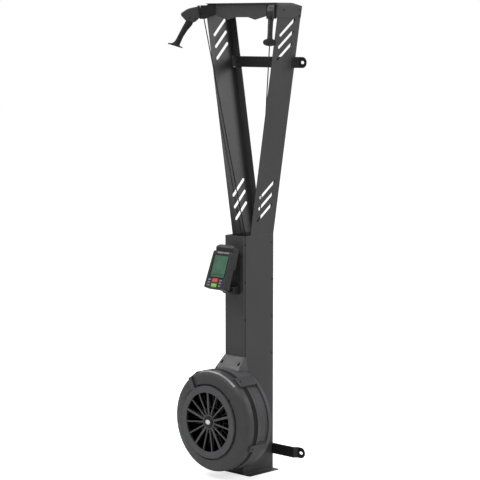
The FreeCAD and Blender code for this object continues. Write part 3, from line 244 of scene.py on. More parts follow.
def brushed_steel(name, colour=srgb(176, 176, 178), axis_scale=(1.0, 60.0, 1.0)):
    """Bare turned or rolled steel with fine lines along one way."""
    graph = surface(name, Metallic=1.0)
    lines = graph.noise(26.0, 5.0, graph.stretched(axis_scale))
    return graph.finish(Base_Color=graph.clouded(lines, colour, 0.82, 1.0),
                        Roughness=graph.spread(lines, 0.26, 0.42),
                        Normal=graph.bump(lines, brush_depth, 0.3, graph.rounded(steel_edge)))


def braided_cord(name, colour):
    """Tight braid of a thin synthetic cord."""
    graph = surface(name, Roughness=0.78, Specular_IOR_Level=0.25)
    strands = graph.cells(900.0, graph.stretched((1.0, 1.0, 0.45)))
    tone = graph.spread(strands, 0.0, 1.0, from_low=0.1, from_high=0.6)
    return graph.finish(Base_Color=graph.blend(tone, shade(colour, 1.5), shade(colour, 0.6)),
                        Normal=graph.bump(strands, braid_depth, 0.8))


def grip_rubber(name, colour):
    """Soft rubber with fine rings along its length and a dull skin."""
    graph = surface(name, Specular_IOR_Level=0.3)
    clouds = graph.noise(30.0)
    rings = graph.wave(95.0, "Z", 0.4)
    dark_rings = graph.spread(rings, 0.0, 0.35, from_low=0.55, from_high=0.95)
    skin = graph.bump(graph.cells(1300.0), skin_depth, 0.4)
    return graph.finish(Base_Color=graph.blend(dark_rings, graph.clouded(clouds, colour, 0.85, 1.2),
                                               shade(colour, 0.55)),
                        Roughness=graph.spread(clouds, 0.62, 0.78),
                        Normal=graph.bump(rings, ring_depth, 0.5, skin))


def key_rubber(name, colour):
    """Slightly see-through silicone of a key, with a matt skin."""
    graph = surface(name, Roughness=0.5, Subsurface_Weight=0.15, Subsurface_Scale=key_scatter,
                    Subsurface_Radius=white[:3])
    return graph.finish(Base_Color=graph.clouded(graph.noise(160.0), colour, 0.9, 1.1),
                        Normal=graph.bump(graph.noise(1500.0), key_depth, 0.3, graph.rounded(key_edge)))


def display_film(name, light, dark):
    """Unlit grey-green display under its window: faint dot columns, a little uneven."""
    graph = surface(name, Roughness=0.22, Coat_Weight=0.5, Coat_Roughness=0.12)
    tone = graph.blend(graph.spread(graph.noise(22.0, 2.0), 0.0, 1.0), dark, light)
    columns = graph.spread(graph.wave(230.0, "X"), 0.0, 0.12, from_low=0.5, from_high=0.9)
    return graph.finish(Base_Color=graph.blend(columns, tone, shade(dark, 0.6)),
                        Normal=graph.bump(graph.noise(300.0), film_depth, 0.2))


def circuit_green(name, mask, track):
    """Solder mask with a net of finer lines."""
    graph = surface(name, Roughness=0.35)
    net = graph.spread(graph.cells(210.0, feature="DISTANCE_TO_EDGE"), 1.0, 0.0,
                       from_low=0.03, from_high=0.09)
    return graph.finish(Base_Color=graph.blend(net, mask, track),
                        Normal=graph.bump(net, track_depth, 0.4))


def printed_strip(name, colour):
    """A printed label: even, with a paper-fine tooth."""
    graph = surface(name, Roughness=0.35)
    tooth = graph.noise(900.0, 2.0)
    return graph.finish(Base_Color=graph.clouded(tooth, colour, 0.95, 1.03),
                        Normal=graph.bump(tooth, tooth_depth, 0.2))


# After a plastic's colour come its roughness, the scale of its grain, the grain's depth in
# millimetres and the share of painted highlight on its edges.
steel_paint = powder_coat("charcoal_powder_coat", srgb(64, 64, 65))
bar_paint = powder_coat("black_powder_coat", srgb(36, 36, 37), 0.4)
dock_plastic = moulded_plastic("black_moulding", srgb(26, 26, 27), 0.42)
housing_plastic = moulded_plastic("housing_moulding", srgb(75, 75, 77))
clamp_plastic = moulded_plastic("clamp_moulding", srgb(62, 62, 64))
cover_plastic = moulded_plastic("cover_moulding", srgb(62, 62, 63))
# black for painted shade: the strip in the column's side joints and the band in the recess round the cover
shade_strip_black = moulded_plastic("shade_strip_black", srgb(13, 13, 14), 0.8, 1200.0, 0.04, 0.0)
cap_plastic = moulded_plastic("cap_moulding", srgb(10, 10, 11), 0.5, 1400.0, 0.04, 0.1)
liner_cloth = moulded_plastic("liner_cloth", srgb(44, 44, 45), 0.8, 1600.0, 0.05, 0.0)
gloss_black = moulded_plastic("gloss_black_moulding", srgb(22, 24, 24), 0.14, 1500.0, 0.01, 0.1)
handle_plastic = moulded_plastic("handle_moulding", srgb(54, 54, 56), 0.55, 1100.0, 0.07, 0.4)
monitor_plastic = moulded_plastic("monitor_moulding", srgb(40, 40, 42), 0.62, 1300.0, 0.06, 0.2)
bracket_plastic = moulded_plastic("bracket_moulding", srgb(23, 23, 24), 0.72, 1200.0, 0.06)
wheel_plastic = moulded_plastic("wheel_moulding", srgb(20, 20, 21), 0.38)
pulley_plastic = moulded_plastic("pulley_moulding", srgb(54, 54, 56), 0.36)
mesh_paint = powder_coat("mesh_paint", srgb(92, 92, 94), 0.5)
bare_steel = brushed_steel("turned_steel")
pin_steel = brushed_steel("dark_pin_steel", srgb(52, 52, 54))
spring_steel = brushed_steel("spring_steel", srgb(120, 122, 128), (1.0, 1.0, 80.0))
screw_steel = brushed_steel("black_screw_steel", srgb(44, 44, 46))
cord_braid = braided_cord("cord_braid", srgb(46, 46, 48))
rubber = grip_rubber("grip_rubber", srgb(30, 30, 31))
pad_rubber = grip_rubber("pad_rubber", srgb(16, 16, 17))
red_rubber = key_rubber("red_key_rubber", srgb(206, 84, 80))
green_rubber = key_rubber("green_key_rubber", srgb(136, 196, 92))
pale_rubber = key_rubber("pale_key_rubber", srgb(138, 132, 146))
rim_materials = {"red": key_rubber("red_rim_rubber", srgb(146, 30, 44)),
                 "green": key_rubber("green_rim_rubber", srgb(58, 112, 24))}
display = display_film("display_film", srgb(84, 116, 98), srgb(62, 104, 82))
figure_ink = printed_strip("display_ink", srgb(44, 78, 62))
board_green = circuit_green("solder_mask", srgb(16, 62, 38), srgb(52, 120, 74))
strip_silver = printed_strip("silver_print", srgb(138, 138, 140))
strip_dark = printed_strip("dark_print", srgb(38, 38, 40))
number_print = printed_strip("number_print", srgb(120, 120, 122))
badge_white = printed_strip("badge_print", srgb(226, 226, 226))

sheet_pieces = ["base_plate", "column_front_panel", "column_rear_panel", "head_front_plate",
                "head_side_plates", "head_top_cover"] + both("column_sheet", "arm")
wall_bars = ["upper_wall_bar", "lower_wall_bar"]
pale_keys = both("key_1", "key_2", "key_3")
node_materials = {
    steel_paint: sheet_pieces,
    bar_paint: wall_bars,
    dock_plastic: both("cord_dock"),
    bracket_plastic: ["monitor_bracket"],
    housing_plastic: ["fan_rear_housing", "fan_front_grill", "damper_ring"],
    clamp_plastic: ["housing_clamps"],
    cover_plastic: ["fan_front_cover"],
    cap_plastic: ["grill_hub_cap"],
    mesh_paint: ["fan_mesh_band"],
    wheel_plastic: ["fan_wheel"],
    pin_steel: ["pulley_pins"],
    bare_steel: ["fan_shaft", "guide_bars", "front_bearing_plate", "rear_bearing_plate",
                 "spring_cups", "shaft_bearings", "one_way_clutches"],
    spring_steel: ["recoil_springs"],
    pulley_plastic: both("dock_pulley", "guide_pulley", "spool"),
    cord_braid: both("drive_cord", "handle_cord"),
    handle_plastic: both("handle_head"),
    rubber: both("handle_grip"),
    monitor_plastic: ["monitor_case", "monitor_bezel"],
    display: ["monitor_screen"],
    board_green: ["circuit_board"],
    red_rubber: ["red_key"],
    green_rubber: ["green_key"],
    pale_rubber: pale_keys,
    screw_steel: ["frame_screws", "clamp_screws"],
}
for material, names in node_materials.items():
    for name in names:
        nodes[name].data.materials.clear()
        nodes[name].data.materials.append(material)


# Mesh building

corner_steps = 5
steep_share = 0.9


def link_new(name, data):
    """A new object that shows this data."""
    thing = bpy.data.objects.new(name, data)
    bpy.context.scene.collection.objects.link(thing)
    return thing


def add_piece(name, mesh_data, material, body, replaced=()):
    """One shown piece from vertices and faces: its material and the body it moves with."""
    points, faces = mesh_data
    mesh = bpy.data.meshes.new(name)
    mesh.from_pydata([tuple(point) for point in points], [], faces)
    mesh.validate()
    build = bmesh.new()
    build.from_mesh(mesh)
    bmesh.ops.remove_doubles(build, verts=build.verts, dist=merge_distance)
    bmesh.ops.recalc_face_normals(build, faces=build.faces)
    build.to_mesh(mesh)
    build.free()
    for face in mesh.polygons:
        face.use_smooth = True
    mesh.set_sharp_from_angle(angle=math.radians(smooth_degrees))
    mesh.materials.append(material)
    piece = link_new(name, mesh)
    if body:
        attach(piece, body)
    if replaced:
        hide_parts(*replaced)
    return piece


def gather(parts):
    """Several lists of vertices and faces as one."""
    points = []
    faces = []
    for part_points, part_faces in parts:
        start = len(points)
        points += part_points
        faces += [[start + index for index in face] for face in part_faces]
    return points, faces


def ring_faces(count, rings, closed=False, capped=False):
    """Faces between rings of points. Closed joins the last to the first, capped fills both ends."""
    faces = [list(range(count)), list(range((rings - 1) * count, rings * count))] if capped else []
    for ring in range(rings if closed else rings - 1):
        beyond = (ring + 1) % rings
        for index in range(count):
            after = (index + 1) % count
            faces.append([ring * count + index, ring * count + after,
                          beyond * count + after, beyond * count + index])
    return faces


def circle(origin, way, radius, along, count):
    """Points round an axis, at a place along it."""
    helper = Vector((0, 0, 1)) if abs(way.z) < steep_share else Vector((0, 1, 0))
    first = way.cross(helper).normalized()
    second = way.cross(first)
    turns = [2 * math.pi * step / count for step in range(count)]
    return [origin + way * along + first * (radius * math.cos(turn)) + second * (radius * math.sin(turn))
            for turn in turns]


def lathe(profile, origin, way, steps=32):
    """(radius, along) points turned about an axis."""
    points = []
    for radius, along in profile:
        points += circle(origin, way, radius, along, steps)
    return points, ring_faces(steps, len(profile))


def rounded_outline(centre, width, height, radius):
    """A rectangle with round corners about a place."""
    points = []
    for corner, (x_sign, y_sign) in enumerate([(1, 1), (-1, 1), (-1, -1), (1, -1)]):
        for step in range(corner_steps + 1):
            turn = math.pi / 2 * (corner + step / corner_steps)
            points.append((centre[0] + x_sign * (width / 2 - radius) + radius * math.cos(turn),
                           centre[1] + y_sign * (height / 2 - radius) + radius * math.sin(turn)))
    return points


def slab(outline, place, thickness, bevel):
    """A flat plate with a bevelled front edge. place(across, down, out) gives its points."""
    middle_x = sum(x for x, y in outline) / len(outline)
    middle_y = sum(y for x, y in outline) / len(outline)
    reach = max(math.hypot(x - middle_x, y - middle_y) for x, y in outline)
    shrink = 1 - bevel / reach
    inner = [(middle_x + (x - middle_x) * shrink, middle_y + (y - middle_y) * shrink) for x, y in outline]
    levels = [(outline, 0), (outline, thickness - bevel), (inner, thickness)]
    points = [place(x, y, out) for ring, out in levels for x, y in ring]
    return points, ring_faces(len(outline), len(levels), capped=True)


def frame_slab(outer, inner, place, thickness):
    """A flat plate between two outlines of as many points."""
    levels = [(outer, 0), (outer, thickness), (inner, thickness), (inner, 0)]
    points = [place(x, y, out) for outline, out in levels for x, y in outline]
    return points, ring_faces(len(outer), len(levels), closed=True)


# Places on the fan, the monitor and the handles

def fan_place(radius, degrees, ahead, across=0.0):
    """A place round the fan's axis, at a distance ahead of the column's front."""
    turn = math.radians(degrees)
    return Vector((radius * math.cos(turn) - across * math.sin(turn), column_front - ahead,
                   fan_axis_height + radius * math.sin(turn) + across * math.cos(turn)))


def bent_bar(section, first, last, steps):
    """A bar with a section of (radius, ahead) points, bent round the fan's axis."""
    closed = last - first == 360
    rings = steps if closed else steps + 1
    points = []
    for ring in range(rings):
        degrees = first + (last - first) * ring / steps
        points += [fan_place(radius, degrees, ahead) for radius, ahead in section]
    return points, ring_faces(len(section), rings, closed=closed, capped=not closed)


def monitor_place(across, down, out):
    """A place on the monitor: across, down from the top edge and out from its front face."""
    tilt = math.radians(monitor_tilt_degrees)
    ahead = monitor_top_front + down * math.sin(tilt) + out * math.cos(tilt)
    return Vector((across, column_front - ahead,
                   monitor_top_height - down * math.cos(tilt) + out * math.sin(tilt)))


def handle_place(side, along, rise, across):
    """A place on a handle: along the pull from the dock's mouth, up square to it and across."""
    tilt = math.radians(pull_tilt_degrees[side])
    turn = math.radians(dock_turn_degrees)
    out = Vector((math.cos(turn), -math.sin(turn), 0))
    way = out * math.cos(tilt) - Vector((0, 0, math.sin(tilt)))
    lift = out * math.sin(tilt) + Vector((0, 0, math.cos(tilt)))
    aside = Vector((math.sin(turn), math.cos(turn), 0))
    point = cord_corner + way * (mouth_reach + along) + lift * rise + aside * across
    return Vector((point.x * (1 if side == "right" else -1), point.y, point.z))


def handle_way(side, along, rise, across):
    """The direction on a handle from the dock's mouth to such a place."""
    return (handle_place(side, along, rise, across) - handle_place(side, 0, 0, 0)).normalized()


# Softened edges of the CAD nodes

edge_widths = {
    1.6 * MM: ["fan_rear_housing"],
    1.0 * MM: ["monitor_case", "monitor_bezel", "fan_front_grill"] + both("handle_head", "cord_dock"),
    1.1 * MM: (sheet_pieces + wall_bars + ["monitor_bracket", "damper_ring", "red_key", "green_key"]
               + pale_keys),
}


def soften_edges():
    for width, names in edge_widths.items():
        for name in names:
            weld = nodes[name].modifiers.new("weld", "WELD")
            weld.merge_threshold = merge_distance
            bevel = nodes[name].modifiers.new("bevel", "BEVEL")
            bevel.width = width
            bevel.segments = 2
            bevel.limit_method = "ANGLE"
            bevel.angle_limit = math.radians(smooth_degrees)
            bevel.harden_normals = True


# Front cover with the rounded face of a tyre

# ring edges as radius, distance ahead and width of the rounding
cover_rings = [mm(170, 165, 5.5), mm(220, 152, 9), mm(228, 139, 10)]
ring_reach = 0.4 * MM
cover_round_steps = 6
flat_degrees = 0.4


def on_ring(vertex, ring_radius, ring_ahead):
    """Whether a corner lies on a ring round the fan's axis."""
    radius = math.hypot(vertex.co.x, vertex.co.z - fan_axis_height)
    ahead = column_front - vertex.co.y
    return abs(radius - ring_radius) < ring_reach and abs(ahead - ring_ahead) < ring_reach


def rounded_cover():
    """The CAD cover with the edges of its face rolled over."""
    form = bmesh.new()
    form.from_mesh(nodes["fan_front_cover"].data)
    bmesh.ops.remove_doubles(form, verts=form.verts, dist=merge_distance)
    bmesh.ops.dissolve_limit(form, angle_limit=math.radians(flat_degrees), verts=form.verts,
                             edges=form.edges)
    for radius, ahead, width in cover_rings:
        ring = [edge for edge in form.edges if all(on_ring(vertex, radius, ahead) for vertex in edge.verts)]
        bmesh.ops.bevel(form, geom=ring, offset=width, offset_type="OFFSET", profile=0.5,
                        segments=cover_round_steps, affect="EDGES", clamp_overlap=True)
    form.verts.index_update()
    points = [vertex.co.copy() for vertex in form.verts]
    faces = [[vertex.index for vertex in face.verts] for face in form.faces]
    form.free()
    add_piece("rounded_cover", (points, faces), cover_plastic, "frame",
              ["fan_front_cover"])


# Dust liner behind the mesh

liner_radius = 221.2 * MM
liner_inner = 220.8 * MM
liner_rear = 6 * MM
liner_front = 86 * MM
liner_turns = [(-21.0, 48.0), (132.0, 201.0)]
liner_steps = 40
liner_section = [(liner_radius, liner_rear), (liner_radius, liner_front),
                 (liner_inner, liner_front), (liner_inner, liner_rear)]


def dust_liner():
    """A dark cloth just behind each window of the mesh."""
    bars = [bent_bar(liner_section, first, last, liner_steps) for first, last in liner_turns]
    add_piece("dust_liner", gather(bars), liner_cloth, "frame")


# Perforated mesh round the fan

mesh_radius = 224 * MM
mesh_sheet = 1.2 * MM
mesh_columns = 256
mesh_rows = 17
mesh_rear_ahead = 5 * MM
mesh_hole_share = 0.6
cell_corners = 6


def mesh_band():
    """A ring of six-sided cells, each with a hole in its middle."""
    reach = 2 * math.pi * mesh_radius / mesh_columns / math.sqrt(3)
    parts = []
    for row in range(mesh_rows):
        for column in range(mesh_columns):
            centre_turn = 360 * (column + row % 2 / 2) / mesh_columns
            centre_ahead = mesh_rear_ahead + reach + row * reach * 1.5
            points = []
            for size_share in (1, mesh_hole_share):
                for corner in range(cell_corners):
                    turn = 2 * math.pi * (corner + 0.5) / cell_corners
                    degrees = centre_turn + math.degrees(reach * size_share * math.cos(turn) / mesh_radius)
                    ahead = centre_ahead + reach * size_share * math.sin(turn)
                    points.append(fan_place(mesh_radius, degrees, ahead))
            parts.append((points, ring_faces(cell_corners, 2)))
    band = add_piece("perforated_band", gather(parts), mesh_paint, "frame",
                     ["fan_mesh_band"])
    thickness = band.modifiers.new("thickness", "SOLIDIFY")
    thickness.thickness = mesh_sheet
    face = band.data.polygons[0]
    thickness.offset = -1 if face.normal.dot(face.center) > 0 else 1


# Damper: scale on the cover's rim, pad on the lever and stop in the groove

scale_first_degrees = 51.0
scale_last_degrees = 109.0
scale_margin_degrees = 2.5
scale_steps = 58
scale_outer = Vector(mm(227.2, 141.6))
scale_inner = Vector(mm(222.4, 149.6))
scale_sheet = 0.7 * MM
# undersides and tops in shares of the strip's thickness
strip_heights = (0.0, 1.0)
tick_heights = (0.25, 1.25)
scale_ticks = 10
tick_half = 0.35 * MM
number_size = 6.44 * MM
number_relief = 0.15 * MM
number_radius = 213 * MM
number_ahead = 154.9 * MM
number_slope_share = 0.277


def scale_degrees(index):
    """Where a step of the scale lies, the first at the left."""
    span = scale_last_degrees - scale_first_degrees - 2 * scale_margin_degrees
    return scale_last_degrees - scale_margin_degrees - span * index / (scale_ticks - 1)


def damper_scale():
    """A pale strip along the cover's bend, with dark ticks across it."""
    slope = (scale_outer - scale_inner).normalized()
    out = Vector((-slope.y, slope.x)) * scale_sheet
    strip, tick = ([scale_inner + out * low, scale_outer + out * low,
                    scale_outer + out * high, scale_inner + out * high]
                   for low, high in (strip_heights, tick_heights))
    add_piece("damper_scale", bent_bar(strip, scale_first_degrees, scale_last_degrees, scale_steps),
              strip_silver, "frame")
    half = math.degrees(tick_half / scale_outer.x)
    places = [scale_degrees(index) for index in range(scale_ticks)]
    ticks = [bent_bar(tick, degrees - half, degrees + half, 1) for degrees in places]
    add_piece("damper_scale_ticks", gather(ticks), strip_dark, "frame")


def damper_numbers():
    """Plain raised numbers 1 to 10 beside the scale."""
    parts = []
    for index in range(scale_ticks):
        text = bpy.data.curves.new("number", "FONT")
        text.body = str(scale_ticks - index)
        text.size = number_size
        text.extrude = number_relief
        text.align_x = "CENTER"
        text.align_y = "CENTER"
        holder = bpy.data.objects.new("number", text)
        mesh = bpy.data.meshes.new_from_object(holder)
        places = [vertex.co for vertex in mesh.vertices]
        points = [fan_place(number_radius + place.y, scale_degrees(index),
                            number_ahead + place.z - place.y * number_slope_share, -place.x)
                  for place in places]
        parts.append((points, [list(face.vertices) for face in mesh.polygons]))
        bpy.data.objects.remove(holder)
    add_piece("damper_numbers", gather(parts), number_print, "frame")


lever_rest_degrees = 120.0
# the pad's sizes at its inner and its outer end
pad_radii = mm(165, 220.4)
pad_aheads = mm(169.1, 156.3)
pad_lows = mm(-17.3, -3.6)
pad_highs = mm(-2.4, 5.4)
pad_bend = 174 * MM
pad_valley = 0.7 * MM
pad_ridge = 1.9 * MM
pad_stations = 25
pad_edge_share = 0.08
# each ridge is two stations wide
ridge_pitch = 4
ridge_stations = (1, 2)


def part_way(ends, share):
    return ends[0] + (ends[1] - ends[0]) * share


def lever_pad():
    """A ribbed black pad on the damper lever's foot plate."""
    points = []
    for station in range(pad_stations):
        share = station / (pad_stations - 1)
        radius, low, high = (part_way(ends, share) for ends in (pad_radii, pad_lows, pad_highs))
        base = part_way(pad_aheads, max(0.0, (radius - pad_bend) / (pad_radii[1] - pad_bend)))
        ridged = station % ridge_pitch in ridge_stations and 0 < station < pad_stations - 1
        rise = pad_ridge if ridged else pad_valley
        inset = (high - low) * pad_edge_share
        for across, up in ((low, 0), (low + inset, rise), (high - inset, rise), (high, 0)):
            points.append(fan_place(radius, lever_rest_degrees, base + up, across))
    add_piece("lever_pad", (points, ring_faces(4, pad_stations, capped=True)), pad_rubber, "damper")


stop_degrees = 42.0
stop_half_degrees = 1.3
stop_steps = 4
stop_section = [mm(163.9, 158), mm(163.9, 164.6), mm(168, 166.4), mm(175.5, 165.9), mm(175.5, 160),
                mm(170, 158)]


def track_stop():
    """The small dark stop that ends the lever's way round."""
    bar = bent_bar(stop_section, stop_degrees - stop_half_degrees, stop_degrees + stop_half_degrees,
                   stop_steps)
    add_piece("lever_stop", bar, cap_plastic, "frame")


# Painted shade round the cover: a thin black band between its rim and the mesh, for the deep shade of the
# recess there

recess_shade_section = [mm(227.9, 80.4), mm(228.45, 80.9), mm(228.45, 109), mm(227.9, 109.6)]
recess_shade_steps = 180


def cover_recess_shade():
    """A thin black band round the cover just ahead of the mesh: painted shade of the recess between rim and
    mesh.
    """
    add_piece("cover_recess_shade", bent_bar(recess_shade_section, 0, 360, recess_shade_steps), shade_strip_black, "frame")


# The joint where the front panel's folded edges end on the column's sides is real; its black strip is
# painted shadow of the gap there

joint_behind = 11 * MM
joint_foot = 300 * MM
joint_top_gap = 1 * MM
# the black shadow strip's section as distances behind its middle and out from the sheet
joint_shadow_section = [mm(-3.2, -0.3), mm(-2.24, 0.3), mm(2.24, 0.3), mm(3.2, -0.3)]


def column_joint_shadow():
    low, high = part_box("column_front_panel")
    column_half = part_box("right_column_sheet")[1].x
    parts = []
    for sign in (-1, 1):
        points = [Vector((sign * (column_half + rise), low.y + joint_behind + behind, z))
                  for z in (joint_foot, high.z - joint_top_gap) for behind, rise in joint_shadow_section]
        parts.append((points, ring_faces(len(joint_shadow_section), 2, capped=True)))
    add_piece("column_joint_shadow", gather(parts), shade_strip_black, "frame")


# Hub badge

hub_cap_ahead = 170.5 * MM
badge_profile = [mm(0.2, 0), mm(13.6, 0), mm(14.2, 0.3), mm(14.2, 0.7), mm(13.6, 1), mm(0.2, 1)]
badge_height_share = 0.76
badge_steps = 48


def hub_badge():
    """A plain white oval badge on the hub's cap."""
    centre = fan_place(0, 0, hub_cap_ahead)
    points, faces = lathe(badge_profile, centre, Vector((0, -1, 0)), badge_steps)
    for point in points:
        point.z = centre.z + (point.z - centre.z) * badge_height_share
    add_piece("hub_badge", (points, faces), badge_white, "frame")


# Screws

def islands(name):
    """The separate solids of a CAD node, each as a list of its corners."""
    mesh = nodes[name].data
    keys = {}
    parent = list(range(len(mesh.vertices)))

    def root(index):
        while parent[index] != index:
            parent[index] = parent[parent[index]]
            index = parent[index]
        return index

    for vertex in mesh.vertices:
        key = tuple(round(value / merge_distance / 2) for value in vertex.co)
        parent[root(vertex.index)] = root(keys.setdefault(key, vertex.index))
    for edge in mesh.edges:
        parent[root(edge.vertices[0])] = root(edge.vertices[1])
    groups = {}
    for vertex in mesh.vertices:
        groups.setdefault(root(vertex.index), []).append(vertex.co.copy())
    return [groups[key] for key in sorted(groups)]


# radii and heights in shares of a head's radius and height
head_profile_shares = [(1.0, -0.1), (1.04, 0.12), (1.0, 0.5), (0.86, 0.86), (0.66, 1.06), (0.5, 1.12)]
head_steps = 24
socket_depth_share = 0.35
socket_radius_share = 0.42
socket_corners = 6


def screw_head(base, way, radius, height):
    """A round head with a six-sided socket, on a base place and facing along a way."""
    dome = lathe([(radius * out, height * along) for out, along in head_profile_shares], base, way,
                 head_steps)
    rim_share, top_share = head_profile_shares[-1]
    points = circle(base, way, radius * rim_share, height * top_share, head_steps)
    for along_share in (top_share, socket_depth_share):
        points += circle(base, way, radius * socket_radius_share, height * along_share, socket_corners)
    faces = [[head_steps + socket_corners + corner for corner in range(socket_corners)]]
    steps_each = head_steps // socket_corners
    for corner in range(socket_corners):
        here = head_steps + corner
        after = head_steps + (corner + 1) % socket_corners
        first = corner * steps_each
        middle = first + steps_each // 2
        for index in range(first, first + steps_each):
            faces.append([index, (index + 1) % head_steps, here if index < middle else after])
        faces.append([middle, here, after])
        faces.append([here, after, after + socket_corners, here + socket_corners])
    return gather([dome, (points, faces)])


head_radius = 4 * MM
head_height = 2 * MM
# a head that takes up more than this across the object leans with its plate
upright_limit = 2.2 * MM


def middle_of(corners):
    return sum(corners, Vector()) / len(corners)


def frame_screw_heads():
    """Screws of the column, the head plates and the wall bars."""
    parts = []
    for corners in islands("frame_screws"):
        centre = middle_of(corners)
        spreads = [max(corner[axis] for corner in corners) - min(corner[axis] for corner in corners)
                   for axis in range(3)]
        if spreads[1] < spreads[0]:
            way = Vector((0, -1, 0))
        else:
            lean = (spreads[0] - head_height) / spreads[2] if spreads[0] > upright_limit else 0
            way = Vector((1 if centre.x > 0 else -1, 0, -lean)).normalized()
        parts.append(screw_head(centre - way * (head_height / 2), way, head_radius, head_height))
    add_piece("frame_screw_heads", gather(parts), screw_steel, "frame", ["frame_screws"])


shank_profile = [mm(0.1, -7), mm(1.9, -7), mm(1.9, 0)]
shank_steps = 16


def clamp_screw_heads():
    """Screws that hold the four clamps to the fan's cover."""
    parts = []
    for corners in islands("clamp_screws"):
        centre = middle_of(corners)
        way = Vector((centre.x, 0, centre.z - fan_axis_height)).normalized()
        top = max(corner.dot(way) for corner in corners) - centre.dot(way)
        base = centre + way * (top - head_height)
        parts.append(lathe(shank_profile, base, way, shank_steps))
        parts.append(screw_head(base, way, head_radius, head_height))
    add_piece("clamp_screw_heads", gather(parts), screw_steel, "frame", ["clamp_screws"])


# places along the pull and up
handle_screw_places = [mm(44, -13), mm(21, -22)]
handle_screw_radius = 2.6 * MM
handle_screw_height = 1.1 * MM
handle_half_thickness = 13 * MM


def handle_screws(side):
    """Two screws on each flat of a handle's head."""
    parts = []
    for along, rise in handle_screw_places:
        for sign in (-1, 1):
            base = handle_place(side, along, rise, sign * handle_half_thickness)
            parts.append(screw_head(base, handle_way(side, 0, 0, sign * MM), handle_screw_radius,
                                    handle_screw_height))
    add_piece(side + "_handle_screws", gather(parts), screw_steel, side + "_handle")


# Cord ways out of the docks

grommet_profile = [mm(4.9, -9), mm(4.9, -0.3), mm(6.8, -0.3), mm(6.8, 0.1), mm(5.8, 0.3), mm(4.2, 0.1),
                   mm(3.5, -1.2), mm(3.5, -9)]
handle_gap = 0.7 * MM


def dock_grommet(side):
    """A smooth ring where a cord leaves its dock."""
    face = handle_place(side, -handle_gap, 0, 0)
    add_piece(side + "_grommet", lathe(grommet_profile, face, handle_way(side, MM, 0, 0)), cap_plastic,
              "frame")


# Drive cords: points in millimetres from the spool to the dock's mouth, and the length in metres

cord_radius = 2.5 * MM
cord_routes = {
    "right": ([(-10, 27.4, 237), (26, 27.4, 237), (26, 27.4, 273), (26, 27.4, 946.6), (26, 27.4, 976.55),
               (30.9, 24.4, 1006), (208.6, -81.9, 2062.8), (211.51, -83.6, 2080),
               (222.74, -96.98, 2078.93)], 1.9037),
    "left": ([(-10, 58.5, 237), (26, 58.5, 237), (26, 58.5, 273), (26, 58.5, 637.3), (26, 58.5, 667.25),
              (21.1, 55.6, 696.7), (-208.6, -81.9, 2062.8), (-211.51, -83.6, 2080),
              (-222.55, -96.76, 2076.66)], 1.9087),
}


def drive_cord(side):
    """The cord from its spool up the column and the arm to its dock, on one smooth curve."""
    route, length = cord_routes[side]
    curve = bpy.data.curves.new(side + "_cord_line", "CURVE")
    curve.dimensions = "3D"
    curve.resolution_u = 16
    curve.bevel_depth = cord_radius
    curve.bevel_resolution = 4
    curve.use_fill_caps = True
    spline = curve.splines.new("NURBS")
    spline.points.add(len(route) - 1)
    for point, place in zip(spline.points, route):
        point.co = mm(*place) + (1,)
    spline.order_u = 3
    spline.use_endpoint_u = True
    curve.materials.append(cord_braid)
    piece = link_new(side + "_cord_line", curve)
    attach(piece, "frame")
    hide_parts(side + "_drive_cord")


# Short cords between the docks and the handles

pull_cord_reach = 23.3 * MM
pull_cord_steps = 5
pull_cord_sides = 16


def pull_cord(side):
    """The short cord from the dock's mouth along its handle, one end inside the mouth."""
    alongs = [-handle_gap * (1 - step / pull_cord_steps) for step in range(pull_cord_steps + 1)]
    alongs.append(pull_cord_reach)
    turns = [2 * math.pi * step / pull_cord_sides for step in range(pull_cord_sides)]
    points = [handle_place(side, along, cord_radius * math.cos(turn), cord_radius * math.sin(turn))
              for along in alongs for turn in turns]
    piece = add_piece(side + "_pull_cord",
                      (points, ring_faces(pull_cord_sides, len(alongs), capped=True)),
                      cord_braid, None, [side + "_handle_cord"])
    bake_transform(piece)


# Monitor face

window_half = 43 * MM
window_top = 20 * MM
window_bottom = 120 * MM
window_corner = 2 * MM
window_lap = 1 * MM
surround_width = 3.6 * MM
surround_corner = 5 * MM
surround_sheet = 0.5 * MM
strip_places = [mm(-31, 6), mm(10, 40)]
strip_down = 7.5 * MM
strip_height = 6.5 * MM
strip_corner = 1.2 * MM
strip_sheet = 0.6 * MM
strip_bevel = 0.25 * MM


def between(first, last, down, height):
    """An outline between two places across the monitor."""
    return rounded_outline(((first + last) / 2, down), last - first, height, min(strip_corner, height / 3))


def monitor_trim():
    """Glossy frame round the window and two blank silver strips above it."""
    middle = (0, (window_top + window_bottom) / 2)
    height = window_bottom - window_top
    outer = rounded_outline(middle, 2 * (window_half + surround_width), height + 2 * surround_width,
                            surround_corner)
    inner = rounded_outline(middle, 2 * window_half - window_lap, height - window_lap, window_corner)
    add_piece("window_frame", frame_slab(outer, inner, monitor_place, surround_sheet), gloss_black,
              "monitor")
    strips = [slab(between(first, last, strip_down, strip_height), monitor_place, strip_sheet, strip_bevel)
              for first, last in strip_places]
    add_piece("bezel_strips", gather(strips), strip_silver, "monitor")


key_middle = -4.5 * MM
key_downs = {"red": 135 * MM, "green": 158 * MM}
key_width = 31 * MM
key_height = 14 * MM
# how much wider than its key a rim is outside and inside, and its corners' radii
rim_growths = mm(7.4, 0.9)
rim_corners = mm(3.2, 1.4)
rim_rise = 1.1 * MM


def key_rims_on_face():
    """A darker rim in the bezel round the red key and the green key."""
    for colour, down in key_downs.items():
        outer, inner = (rounded_outline((key_middle, down), key_width + growth, key_height + growth, radius)
                        for growth, radius in zip(rim_growths, rim_corners))
        add_piece(colour + "_rim", frame_slab(outer, inner, monitor_place, rim_rise),
                  rim_materials[colour], "monitor")


# Figures on the display: which bars of a seven-bar figure are on
figure_bars = {"0": "abcdef", "1": "bc", "2": "abged", "3": "abgcd", "4": "fgbc", "5": "afgcd",
               "6": "afgedc", "7": "abc", "8": "abcdefg", "9": "abcdfg"}
